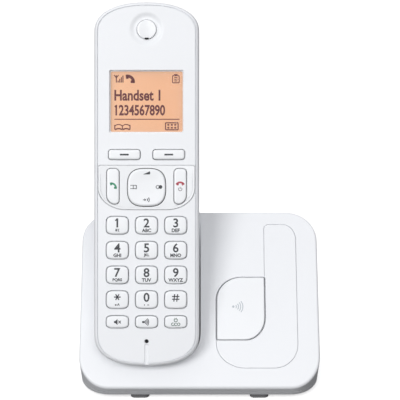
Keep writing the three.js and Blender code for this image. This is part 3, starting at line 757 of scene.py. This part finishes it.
def key_cap(name, cap_plate, foot_plate, rise, body):
    """A key: a softly rounded cap on the wider foot that keeps it behind the cover."""
    low, high = hand.span(name)
    foot = thicken(foot_plate, low.z, low.z + 0.8)
    piece = raw_object(f"{name}_cap", foot)
    rim_depth, rim_inset = 0.6, 0.75
    cap = crown(soft_slab(cap_plate, low.z + 0.2, high.z - rise, rim_depth, rim_inset, 5), rise)
    join(piece, cap)
    return finish(piece, hand, body, key_white, [name])


def box_keys():
    for node in KEY_KIND:
        key_cap(node, plate(key_outline(node)), plate(key_outline(node, 0.6)), 0.06, node)


def call_keys():
    for side, node in ((-1, "talk_key"), (1, "off_key")):
        key_cap(node, plate(call_key_outline(side)), plate(call_key_outline(side, 0.6)), 0.05, node)


def navigator():
    """The four-way key: a cushion-shaped cap, a little dished in its middle."""
    low, high = hand.span("navigator_key")
    bm = soft_slab(plate(navigator_outline()), low.z, high.z, 0.8, 1.0, 6)
    cap = raw_object("navigator_cap", crown(bm, -0.3))
    return finish(cap, hand, "navigator_key", key_white, ["navigator_key"])


def control_panel():
    """The glossy panel round the navigator, with a fine line inside its sides and foot."""
    low, high = hand.span("control_trim")
    bm = soft_slab(plate(trim_outline()), low.z, high.z, 0.22, 0.25, 4)
    panel = raw_object("control_panel", bm)
    line = band(trim_outline(-0.95), trim_outline(-1.2), high.z - 0.4, high.z + 1)
    cut(line, block(-CLEAR, CLEAR, TRIM["top"] - 4, TRIM["top"] + 4, -5, 5))
    cut(panel, line)
    for side in (-1, 1):
        cut(panel, slab(call_key_outline(side, KEY_GAP), -5, 5))
    cut(panel, slab(navigator_outline(KEY_GAP), -5, 5))
    return finish(panel, hand, "handset", trim_white, ["control_trim"])


def ear_disc():
    """The raised disc over the receiver, with a small slot let into its lower edge; a near-black sheet in the
    slot is painted shade.
    """
    low, high = hand.span("ear_cap")
    x, y = hand.middle("ear_cap").xy
    bm = soft_slab(disc_plate(x, y, EAR["radius"], 72), GAP - EAR["pocket"], high.z - 0.1, 0.3, 0.45, 5)
    disc = raw_object("ear_disc", crown(bm, 0.1))
    join(disc, thicken(disc_plate(x, y, 3.0), low.z, high.z - 0.5))
    cut(disc, thicken(rounded_plate(x, y - EAR["slot"], 1.8, 0.8, 0.3, 4), high.z - 0.75, 3))
    finish(disc, hand, "handset", trim_white, ["ear_cap"])
    # Painted shade: a near-black sheet just below the slot's mouth stands in for the shade inside it.
    slot_shade_outline = rounded_plate(x, y - EAR["slot"] - 0.02, 1.7, 0.7, 0.25, 4)
    slot_shade_sheet = thicken(slot_shade_outline, high.z - 0.74, high.z - 0.2)
    finish(raw_object("ear_slot_shade", slot_shade_sheet), hand, "handset", slot_shade_black)


# ---------------------------------------------------------------- display

def lens_material():
    """Clear acrylic, polished, with a hard glossy skin."""
    nodes = Nodes("window_acrylic")
    smear = nodes.noise(90, 3)
    nodes.set(Base_Color=rgb(0.5, 0.42, 0.36), Roughness=smear * 0.05 + 0.03, Alpha=smear * 0.02 + 0.03)
    nodes.set(Coat_Weight=0.6, Coat_Roughness=0.03, IOR=1.49)
    return nodes.material


def glow_material():
    """The lit amber ground of the display: paler to the left, greyer towards its edges."""
    nodes = Nodes("display_amber")
    middle = hand.matrix @ hand.middle("lcd_panel") * MM
    local = nodes.add("ShaderNodeMapping", {"vector_type": "TEXTURE"},
                      {"Vector": nodes.place(), "Location": middle, "Rotation": hand.turn.to_euler()})
    split = nodes.add("ShaderNodeSeparateXYZ", {}, {"Vector": local})
    across = Wire(nodes, split.socket.node.outputs[0]) * (2 / (SCREEN["width"] * MM))
    up = Wire(nodes, split.socket.node.outputs[1]) * (2 / (SCREEN["height"] * MM))
    leftness = nodes.add("ShaderNodeMapRange", {}, {0: across, 1: -1.0, 2: 1.0, 3: 1.0, 4: 0.0})
    edge = nodes.add("ShaderNodeMath", {"operation": "MAXIMUM"},
                     {0: nodes.add("ShaderNodeMath", {"operation": "ABSOLUTE"}, {0: across}),
                      1: nodes.add("ShaderNodeMath", {"operation": "ABSOLUTE"}, {0: up})}) ** 9
    dots = nodes.noise(7000, 1)
    glow = nodes.mix(leftness, rgb(0.62, 0.27, 0.12), rgb(0.70, 0.38, 0.21))
    glow = nodes.mix(edge * 0.45 + dots * 0.06, glow, rgb(0.38, 0.26, 0.19))
    ground_tone = nodes.mix(edge * 0.4, rgb(0.55, 0.3, 0.17), rgb(0.3, 0.22, 0.17))
    nodes.set(Base_Color=ground_tone, Roughness=dots * 0.1 + 0.3)
    nodes.set(Emission_Color=glow, Emission_Strength=0.53)
    return nodes.material


def display():
    """The window, and the liquid crystal panel behind it."""
    middle = hand.middle("display_lens")
    window, glass = (SCREEN["corner"], (0.2, 0.2, 3)), (0.5, (0.15, 0.15, 2))
    for node, name, (corner, soft), material, slot in (
            ("display_lens", "display_window", window, lens_material, "display_window"),
            ("lcd_panel", "lcd_glass", glass, glow_material, "display_panel")):
        low, high = hand.span(node)
        outline = rounded_plate(middle.x, middle.y, high.x - low.x, high.y - low.y, corner)
        piece = raw_object(name, soft_slab(outline, low.z, high.z, *soft))
        finish(piece, hand, "handset", material(), [node])


# ---------------------------------------------------------------- marks

INK = 0.05


def text_solid(words, x, y, height, bold=0.0, width=None):
    """Letters as a thin solid, centred on a point and as tall as their capitals should be."""
    curve = bpy.data.curves.new("letters", "FONT")
    curve.body = words
    curve.size = 10
    curve.offset = bold
    curve.extrude = 0.5
    curve.resolution_u = 4
    writing = bpy.data.objects.new("letters", curve)
    bpy.context.scene.collection.objects.link(writing)
    bpy.context.view_layer.update()
    graph = bpy.context.evaluated_depsgraph_get()
    mesh = bpy.data.meshes.new_from_object(writing.evaluated_get(graph))
    bpy.data.objects.remove(writing)
    bpy.data.curves.remove(curve)
    bm = bmesh.new()
    bm.from_mesh(mesh)
    bpy.data.meshes.remove(mesh)
    bmesh.ops.remove_doubles(bm, verts=bm.verts, dist=1e-5)
    bmesh.ops.recalc_face_normals(bm, faces=bm.faces)
    low = Vector([min(v.co[i] for v in bm.verts) for i in range(3)])
    high = Vector([max(v.co[i] for v in bm.verts) for i in range(3)])
    tall = height / (high.y - low.y)
    wide = width / (high.x - low.x) if width else tall
    bmesh.ops.translate(bm, vec=-(low + high) / 2, verts=bm.verts)
    bmesh.ops.scale(bm, vec=(wide, tall, INK), verts=bm.verts)
    bmesh.ops.translate(bm, vec=(x, y, 0), verts=bm.verts)
    return bm


def stroke(x0, y0, x1, y1, width):
    """A straight bar between two points."""
    length = math.hypot(x1 - x0, y1 - y0)
    bm = thicken(rounded_plate(0, 0, length, width, min(width, length) * 0.2, 2), -INK / 2, INK / 2)
    turn = Matrix.Rotation(math.atan2(y1 - y0, x1 - x0), 4, "Z")
    return moved(bm, Matrix.Translation(((x0 + x1) / 2, (y0 + y1) / 2, 0)) @ turn)


def strokes(x, y, width, *lines):
    """Several bars of one width, each given by its two ends from a point."""
    return [stroke(x + a, y + b, x + c, y + d, width) for a, b, c, d in lines]


def arc(x, y, radius, width, start, end, steps=14):
    """A band along part of a circle, swept from a short edge; the angles are degrees."""
    bm = bmesh.new()
    a, b = [bm.verts.new((radius + side * width / 2, 0, 0)) for side in (-1, 1)]
    edge = bm.edges.new((a, b))
    bmesh.ops.rotate(bm, cent=(0, 0, 0), matrix=Matrix.Rotation(math.radians(start), 3, "Z"), verts=bm.verts)
    bmesh.ops.spin(bm, geom=[a, b, edge], axis=(0, 0, 1), cent=(0, 0, 0), angle=math.radians(end - start),
                   steps=steps, use_merge=False, use_duplicate=False)
    bmesh.ops.remove_doubles(bm, verts=bm.verts, dist=1e-4)
    bmesh.ops.translate(bm, vec=(x, y, 0), verts=bm.verts)
    return thicken(bm, -INK / 2, INK / 2)


def box_frame(x, y, width, height, line):
    """Four bars round a rectangle."""
    dx, dy = width / 2, height / 2
    return strokes(x, y, line, (-dx, -dy, dx, -dy), (-dx, dy, dx, dy), (-dx, -dy, -dx, dy), (dx, -dy, dx, dy))


def dot(x, y, radius, steps=20):
    return thicken(disc_plate(x, y, radius, steps), -INK / 2, INK / 2)


def receiver_sign(x, y, size, tilt, weight=0.2):
    """A telephone receiver: a bowed grip with a block at each end."""
    turn = Matrix.Translation((x, y, 0)) @ Matrix.Rotation(math.radians(tilt), 4, "Z")
    radius, reach = size * 0.58, 50
    parts = [arc(0, -size * 0.36, radius, size * weight, 90 - reach, 90 + reach)]
    for side in (-1, 1):
        angle = math.radians(90 + side * reach)
        away = Vector((math.cos(angle), math.sin(angle)))
        along = Vector((-away.y, away.x)) * side
        start = Vector((0, -size * 0.36)) + away * (radius + size * weight / 2) - along * size * 0.03
        end = start - away * size * (weight + 0.13)
        parts.append(stroke(start.x, start.y, end.x, end.y, size * 0.26))
    return [moved(bm, turn) for bm in parts]


def waves(x, y, size, count, line):
    """Sound waves opening to the right."""
    return [arc(x, y, size * (0.38 + 0.32 * i), line, -38, 38) for i in range(count)]


def marks(name, parts, seat, height, body, material):
    """Several thin solids laid on a surface at one height, as one piece."""
    whole = bmesh.new()
    for bm in parts:
        mesh = bpy.data.meshes.new("mark")
        bm.to_mesh(mesh)
        bm.free()
        whole.from_mesh(mesh)
        bpy.data.meshes.remove(mesh)
    bmesh.ops.translate(whole, vec=(0, 0, height), verts=whole.verts)
    return finish(raw_object(name, whole), seat, body, material)


def key_marks(node, parts, material=None, name=None, sunk=0):
    """Signs on a key's top; they move with the key."""
    top = hand.span(node)[1].z - sunk
    marks(name or f"marks_{node}", parts, hand, top, node, material or mark_grey)


LETTERS = {
    "key_1": ("1", "&'("), "key_2": ("2", "ABC"), "key_3": ("3", "DEF"),
    "key_4": ("4", "GHI"), "key_5": ("5", "JKL"), "key_6": ("6", "MNO"),
    "key_7": ("7", "PQRS"), "key_8": ("8", "TUV"), "key_9": ("9", "WXYZ"),
    "key_0": ("0", ""),
}
DIGIT_HEIGHT, LETTER_HEIGHT = 4.05, 1.6


def digit_marks():
    for node in DIGIT_KEYS:
        x, y = hand.middle(node).xy
        if node in LETTERS:
            digit, letters = LETTERS[node]
            parts = [text_solid(digit, x, y + 1.1, DIGIT_HEIGHT, 0.2)]
            if letters:
                parts.append(text_solid(letters, x, y - 2.2, LETTER_HEIGHT, 0.36))
        elif node == "key_star":
            parts = [stroke(x - 1.5 * math.cos(a), y + 1.2 - 1.5 * math.sin(a), x + 1.5 * math.cos(a),
                            y + 1.2 + 1.5 * math.sin(a), 0.5) for a in (0, math.pi / 3, -math.pi / 3)]
            parts.append(text_solid("a-A", x, y - 2.1, 1.1, 0.3))
        else:
            parts = [stroke(x + d - 0.2, y - 0.8, x + d + 0.2, y + 2.5, 0.48) for d in (-0.65, 0.65)]
            parts += [stroke(x - 1.65, y + 0.85 + d, x + 1.65, y + 0.85 + d, 0.48) for d in (-0.62, 0.62)]
        if node == "key_1":
            parts.append(stroke(x - 0.95, y + 2.1, x - 0.05, y + 2.85, 0.5))
        if node == "key_0":
            parts += [dot(x - 0.9, y - 2.3, 0.25), stroke(x + 0.3, y - 2.3, x + 1.2, y - 2.3, 0.32)]
        key_marks(node, parts)


def function_marks():
    x, y = hand.middle("key_mute").xy
    horn = [(x + 0.1, y - 1.3), (x + 0.1, y + 1.3), (x - 0.9, y + 0.5), (x - 0.9, y - 0.5)]
    parts = [thicken(plate(horn), -INK / 2, INK / 2), stroke(x - 1.5, y, x - 0.9, y, 0.9),
             *strokes(x, y, 0.34, (0.5, -0.6, 1.6, 0.6), (0.5, 0.6, 1.6, -0.6))]
    key_marks("key_mute", parts)
    x, y = hand.middle("key_speaker").xy
    parts = [dot(x - 1.5, y, 0.5), *waves(x - 1.6, y, 1.9, 4, 0.36)]
    key_marks("key_speaker", parts)
    x, y = hand.middle("key_eco").xy
    parts = [*box_frame(x, y + 0.75, 1.3, 1.2, 0.28), stroke(x - 0.35, y + 1.4, x - 0.35, y + 1.9, 0.26),
             stroke(x + 0.35, y + 1.4, x + 0.35, y + 1.9, 0.26), arc(x - 1.3, y - 1.0, 0.58, 0.3, 60, 330),
             arc(x, y - 1.0, 0.58, 0.3, 40, 320), arc(x + 1.3, y - 1.0, 0.58, 0.3, 0, 360)]
    key_marks("key_eco", parts, eco_green)
    for node in SOFT_KEYS:
        x, y = hand.middle(node).xy
        key_marks(node, [stroke(x - 1.95, y, x + 1.95, y, 0.75)])


def call_marks():
    x, y = hand.middle("talk_key").xy
    key_marks("talk_key", receiver_sign(x + 0.2, y + 0.2, 3.5, -42, 0.24), mark_green)
    x, y = hand.middle("off_key").xy
    key_marks("off_key", receiver_sign(x, y + 1.0, 3.4, 0, 0.24), mark_red)
    parts = [arc(x, y - 1.25, 0.75, 0.26, 125, 415), stroke(x, y - 1.15, x, y - 0.2, 0.26)]
    key_marks("off_key", parts, power_grey, "marks_power")


def navigator_marks():
    """Volume wedge at the top, book at the left, redial at the right, speech at the bottom."""
    x, y = hand.middle("navigator_key").xy
    wedge = thicken(plate([(x - 1.6, y + 5.8), (x + 1.6, y + 5.8), (x + 1.6, y + 7.2)]), -INK / 2, INK / 2)
    book = [*box_frame(x - 5.9, y + 0.2, 2.8, 1.5, 0.26), stroke(x - 5.9, y - 0.5, x - 5.9, y + 1.1, 0.26)]
    redial = [arc(x + 5.0, y + 0.2, 0.75, 0.26, 0, 360, 20), dot(x + 6.2, y + 0.2, 0.85)]
    speech = [stroke(x - 1.6, y - 5.5, x - 0.3, y - 5.5, 0.3),
              *strokes(x, y, 0.26, (-0.9, -5.0, -0.3, -5.5), (-0.9, -6.0, -0.3, -5.5)),
              *waves(x - 0.4, y - 5.5, 2.3, 2, 0.34)]
    key_marks("navigator_key", [wedge, *book, *redial, *speech], name="marks_navigator", sunk=0.04)


def display_marks():
    """What the lit display shows: its status row, a name, a number and two choices."""
    middle = hand.middle("display_lens")
    x, y = middle.x, middle.y
    top = hand.span("lcd_panel")[1].z
    bars = strokes(x, y, 0.46, *[(0.72 * i - 12.8, 8.6, 0.72 * i - 12.8, 9.5 + 0.75 * i) for i in range(4)])
    aerial = [stroke(x - 13.6, y + 8.6, x - 13.6, y + 11.9, 0.46),
              *strokes(x, y, 0.42, (-14.6, 12.0, -13.6, 10.7), (-12.6, 12.0, -13.6, 10.7))]
    phone = receiver_sign(x - 7.5, y + 10.1, 4.5, -42, 0.3)
    battery = [*box_frame(x + 13.0, y + 10.1, 2.9, 3.2, 0.4),
               stroke(x + 12.2, y + 12.1, x + 13.8, y + 12.1, 0.5),
               *strokes(x, y, 0.42, *[(12.3, 9.3 + 0.8 * i, 13.7, 9.3 + 0.8 * i) for i in range(3)])]
    name = text_solid("Handset 1", x - 4.2, y + 2.9, 4.9, 0.3, 20.6)
    number = text_solid("1234567890", x - 2.9, y - 3.75, 4.95, 0.3, 22.2)
    flag = stroke(x - 14.3, y - 2.35, x - 13.5, y - 1.5, 0.6)
    rule = stroke(x - 14.5, y - 7.8, x + 14.6, y - 7.8, 0.4)
    left, right, spine = -14.3, -7.5, -10.9
    book = [arc(x + (side + spine) / 2, y + up, radius, width, start, 180 - start)
            for up, radius, width, start in ((-12.5, 2.35, 0.42, 48), (-14.9, 2.9, 0.6, 56))
            for side in (left, right)]
    book += strokes(x, y, 0.45, *[(at, -12.4, at, -9.9 - drop)
                                  for at, drop in ((left, 0.4), (spine, 0.6), (right, 0.4))])
    pad = box_frame(x + 11.2, y - 10.95, 5.6, 3.1, 0.5)
    pad += strokes(x, y, 0.75, *[(9.2 + 1.55 * i, -11.6 + j, 10.1 + 1.55 * i, -11.6 + j)
                                 for i in range(3) for j in (0, 1.3)])
    parts = [*bars, *aerial, *phone, *battery, name, number, flag, rule, *book, *pad]
    ink = printed("display_ink", (0.11, 0.012, 0.018), 0.6)
    marks("display_marks", parts, hand, top + 0.03, "handset", ink)


# ---------------------------------------------------------------- base

BASE = dict(width=109, face=83, wall=2.2, rim=1.1, top=(14.5, 13.5), front=(13.4, 14.8), back=(14, 14))
WALL_TILT = math.tan(math.radians(17))
WALL_SHEAR = Matrix(((1, 0, 0, 0), (0, 1, WALL_TILT, 0), (0, 0, 1, 0), (0, 0, 0, 1)))
LOCATOR = dict(left=7.7, right=29.95, bottom=22.1, top=51.2)
LEAF = ((9, 10.4), (0.6, 0.6), (11.3, 10.7), (0.6, 0.6))
PANEL_RIGHT, PANEL_TOP, PANEL_BOTTOM = 44.5, 76.6, 9.1


def base_form(inset, floor_height):
    """The base's wedge: its sloping outline carried down, kept within its outline from above."""
    side = BASE["width"] / 2
    corners = (BASE["front"], BASE["top"], BASE["top"], BASE["front"])
    outline = cornered(-side, side, 0, BASE["face"], corners, -inset, 12)
    wedge = soft_slab(plate(outline), -200, -inset, BASE["rim"], BASE["rim"], 6)
    form = raw_object("wedge", moved(wedge, face.matrix @ WALL_SHEAR))
    back = box_mm("base_top_cover")[1].y
    corners = ((1, 1), BASE["back"], BASE["back"], (1, 1))
    plan = slab(cornered(-side, side, -150, back, corners, -inset, 12), floor_height, 200)
    return keep(form, plan)


def cradle_space(grow):
    """The room for the handset's lower end."""
    return moved(slab(handset_outline(grow), -HANDSET["thickness"] - grow, 90), hand.matrix)


def leaf(grow=0.0, narrower=0.0):
    left, right = LOCATOR["left"] + narrower, LOCATOR["right"] - narrower
    return cornered(left, right, LOCATOR["bottom"], LOCATOR["top"], LEAF, grow, 14)


def panel_parts(grow=0.0):
    """The two outlines that make the raised panel: a leg beside the button and a foot under it."""
    small = (0.4, 0.4)
    corners = (small, (6, 7.2), (2.4, 2.2), small)
    leg = cornered(LOCATOR["right"], PANEL_RIGHT, 20, PANEL_TOP, corners, grow, 10)
    foot = cornered(LOCATOR["left"], PANEL_RIGHT, PANEL_BOTTOM, LOCATOR["bottom"] + 12,
                    ((10.8, 10.8), small, small, (13, 11.2)), grow, 12)
    return leg, foot


PANEL_GAP, PANEL_DEPTH, PANEL_RISE = 0.26, 0.6, 0.16


CRADLE_CLEARANCE, CRADLE_WALL = 0.6, 2.0


def base_top():
    """The base's upper cover: face, walls, cradle and the openings for button, pins and plugs."""
    bottom, back = box_mm("base_top_cover")[0].z, box_mm("base_top_cover")[1].y
    cover = base_form(0, bottom)
    cover.name = "base_top_shell"
    cut(cover, base_form(BASE["wall"], -100))
    lining = raw_object("lining", cradle_space(CRADLE_CLEARANCE + CRADLE_WALL))
    keep(lining, base_form(0.05, bottom + 0.05))
    join(cover, lining)
    cut(cover, cradle_space(CRADLE_CLEARANCE))
    for outline in panel_parts(PANEL_GAP):
        seat = keep(raw_object("panel_seat", slab(outline, -PANEL_DEPTH - 0.05, 2)), panel_limits(PANEL_GAP))
        seat.data.transform(face.matrix)
        cut(cover, seat)
    cut(cover, moved(flared(plate(leaf(KEY_GAP)), -4.4, 0), face.matrix))
    for word in ("left", "right"):
        low, high = hand.span(f"charge_pin_{word}")
        middle = (low + high) / 2
        hole = thicken(disc_plate(middle.x, -middle.z, 1.3, 24), -9, 4)
        cut(cover, moved(hole, hand.matrix @ Matrix.Rotation(-QUARTER, 4, "X")))
    x, _, z = box_mm("line_socket")[2]
    cut(cover, block(x - 5.1, x + 5.1, back - 3, back + 3, z - 3.7, z + 3.7))
    cut(cover, block(x - 3, x + 3, back - 3, back + 3, z + 3.6, z + 5.2))
    x, _, z = box_mm("power_socket")[2]
    mouth = thicken(disc_plate(x, -z, 3.6, 40), back - 3, back + 3)
    cut(cover, moved(mouth, Matrix.Rotation(-QUARTER, 4, "X")))
    return finish(cover, ground, "base", cover_white, ["base_top_cover"])


def panel_limits(grow):
    """The panel stops at the button's left edge and below its corner."""
    left, top = LOCATOR["left"] - grow, LOCATOR["bottom"] + grow
    limits = raw_object("limits", block(left, 60, 0, top, -5, 5))
    return join(limits, block(LOCATOR["right"] - 9.6, 60, 0, 90, -5, 5))


def inlay():
    """The low raised panel that runs up beside the button and round under it."""
    leg, foot = panel_parts()
    soft = dict(depth=0.12, inset=0.16, steps=3)
    panel = raw_object("locator_panel", soft_slab(plate(leg), -PANEL_DEPTH, PANEL_RISE, **soft))
    join(panel, soft_slab(plate(foot), -PANEL_DEPTH, PANEL_RISE, **soft))
    keep(panel, panel_limits(0))
    cut(panel, slab(leaf(KEY_GAP + 0.12), -3, 3))
    return finish(panel, face, "base", cover_white)


def locator_key():
    """The leaf-shaped button, with sound waves raised on it."""
    low, high = face.span("locator_button")
    piece = raw_object("locator_cap", slab(leaf(1.0), low.z, low.z + 0.8))
    cap = soft_slab(plate(leaf(0, 0.32)), low.z + 0.2, high.z - 0.15, 0.4, 0.45, 5)
    join(piece, crown(cap, 0.15))
    finish(piece, face, "locator_button", key_white, ["locator_button"])
    x, y = (LOCATOR["left"] + LOCATOR["right"]) / 2 - 0.6, (LOCATOR["bottom"] + LOCATOR["top"]) / 2 + 0.7
    parts = [dot(x - 2.8, y, 0.55), *waves(x - 2.6, y, 3.1, 4, 0.42)]
    marks("marks_locator", parts, face, high.z, "locator_button", pale_grey)


def base_bottom():
    """The bottom cover, with seats for the feet and screws and a row of cooling slots."""
    low, high, _ = box_mm("base_bottom_cover")
    plate_form = keep(base_form(0, low.z), block(-100, 100, -100, 100, low.z, high.z))
    plate_form.name = "base_bottom_shell"
    for node in FEET:
        _, top, (x, y, _) = box_mm(node)
        cut(plate_form, thicken(rounded_plate(x, y, 9.2, 9.2, 2.1), 0, top.z + GAP))
    for word in ("left", "right"):
        head, _, (x, y, _) = box_mm(f"base_screw_{word}")
        cut(plate_form, thicken(disc_plate(x, y, 2.9, 40), 0, head.z + 1.2))
        cut(plate_form, thicken(disc_plate(x, y, 1.6, 24), 0, 9))
    for i in range(9):
        x = (i - 4) * 5
        slot = rounded_plate(x, 2, 1.6, 18, 0.79, 4)
        cut(plate_form, thicken(slot, 0, 9))
    return finish(plate_form, ground, "base", cover_white, ["base_bottom_cover"])


FEET = ["foot_front_left", "foot_front_right", "foot_back_left", "foot_back_right"]


def feet():
    for node in FEET:
        low, high, middle = box_mm(node)
        foot = rounded_plate(middle.x, middle.y, high.x - low.x, high.y - low.y, 2)
        bm = soft_slab(foot, -high.z, 0, 0.5, 0.5, 4)
        bmesh.ops.scale(bm, vec=(1, 1, -1), verts=bm.verts)
        bmesh.ops.reverse_faces(bm, faces=bm.faces)
        finish(raw_object(f"{node}_pad", bm), ground, "base", foot_rubber, [node])


# ---------------------------------------------------------------- pieces kept from the frame

# The keypad mat and the navigator plunger take the darkened rubber, whose grey is partly painted shade in the
# key gaps.
KEPT = {
    "lcd_holder": milky, "receiver_capsule": black_plastic, "ringer_speaker": black_plastic,
    "microphone": black_plastic, "keypad_mat": key_rubber, "handset_board": board_green,
    "battery_link": contact_metal, "battery_terminal": contact_metal,
    "battery_cell_left": sleeve_green, "battery_cell_right": sleeve_green,
    "handset_contact_left": contact_metal, "handset_contact_right": contact_metal,
    "handset_screw_left": screw_steel, "handset_screw_right": screw_steel,
    "navigator_plunger": key_rubber, "line_socket": black_plastic, "power_socket": black_plastic,
    "locator_switch": black_plastic, "base_board": board_green,
    "base_screw_left": screw_steel, "base_screw_right": screw_steel,
    "charge_pin_left": contact_metal, "charge_pin_right": contact_metal,
}


def dress_kept_nodes():
    for node, material in KEPT.items():
        mesh = frame["nodes"][node].data
        mesh.materials.clear()
        mesh.materials.append(material)


# ---------------------------------------------------------------- camera, floor and light

VIEW_DISTANCE = 600
PICTURE_HEIGHT = 178.2  # what the picture takes in at that distance
AIM_UP = 74.2
AIM_ACROSS = 23.8
SENSOR = 36


def camera():
    """Square on to the handset's front, a long lens away."""
    data = bpy.data.cameras.new("camera")
    data.sensor_width = SENSOR
    data.lens = SENSOR * VIEW_DISTANCE / PICTURE_HEIGHT
    data.clip_start, data.clip_end = 0.01, 20
    view = bpy.data.objects.new("camera", data)
    bpy.context.scene.collection.objects.link(view)
    spot = hand.matrix @ Vector((AIM_ACROSS, AIM_UP, VIEW_DISTANCE)) * MM
    view.matrix_world = Matrix.Translation(spot) @ hand.turn
    bpy.context.scene.camera = view


def floor():
    bm = bmesh.new()
    bmesh.ops.create_grid(bm, x_segments=1, y_segments=1, size=3)
    sheet = raw_object("floor", bm)
    nodes = Nodes("floor_white")
    cloud = nodes.noise(3, 2)
    pale = nodes.mix(cloud, rgb(0.94, 0.94, 0.94), rgb(0.97, 0.97, 0.97))
    nodes.set(Base_Color=pale, Emission_Color=pale, Emission_Strength=0.55, Roughness=0.9)
    sheet.data.materials.append(nodes.material)
    sheet.visible_diffuse = sheet.visible_glossy = False


def softbox(name, spot, size, power):
    """A soft rectangular lamp turned towards the object's middle."""
    data = bpy.data.lights.new(name, "AREA")
    data.shape, data.size, data.size_y = "RECTANGLE", size[0], size[1]
    data.energy = power
    lamp = bpy.data.objects.new(name, data)
    bpy.context.scene.collection.objects.link(lamp)
    lamp.location = spot
    lamp.rotation_euler = (Vector((0, 0, 0.07)) - Vector(spot)).to_track_quat("-Z", "Y").to_euler()


SKY = ((0.0, 0.03), (0.47, 0.05), (0.56, 0.36), (1.0, 0.66))


def world():
    """A pale room: brighter overhead, dim below the table."""
    room = bpy.data.worlds.new("studio")
    room.use_nodes = True
    tree = room.node_tree
    place = tree.nodes.new("ShaderNodeTexCoord")
    split = tree.nodes.new("ShaderNodeSeparateXYZ")
    ramp = tree.nodes.new("ShaderNodeValToRGB")
    rise = tree.nodes.new("ShaderNodeMath")
    rise.operation = "MULTIPLY_ADD"
    rise.inputs[1].default_value = rise.inputs[2].default_value = 0.5
    Nodes.set_stops(ramp.color_ramp, [(at, rgb(v, v, v * 1.02)) for at, v in SKY])
    tree.links.new(place.outputs["Generated"], split.inputs[0])
    tree.links.new(split.outputs[2], rise.inputs[0])
    tree.links.new(rise.outputs[0], ramp.inputs[0])
    tree.links.new(ramp.outputs[0], tree.nodes["Background"].inputs[0])
    bpy.context.scene.world = room


def lights():
    softbox("key_light", (-0.66, -1.15, 0.88), (0.65, 0.65), 12.4)
    softbox("front_light", (0.35, -1.4, 1.2), (0.9, 0.9), 7.2)
    bpy.context.scene.view_settings.view_transform = "Standard"


# ---------------------------------------------------------------- the whole

def build():
    camera()
    floor()
    world()
    lights()
    handset_front()
    handset_rear()
    battery_door()
    box_keys()
    call_keys()
    navigator()
    control_panel()
    ear_disc()
    display()
    digit_marks()
    function_marks()
    call_marks()
    navigator_marks()
    display_marks()
    base_top()
    inlay()
    locator_key()
    base_bottom()
    feet()
    dress_kept_nodes()


build()
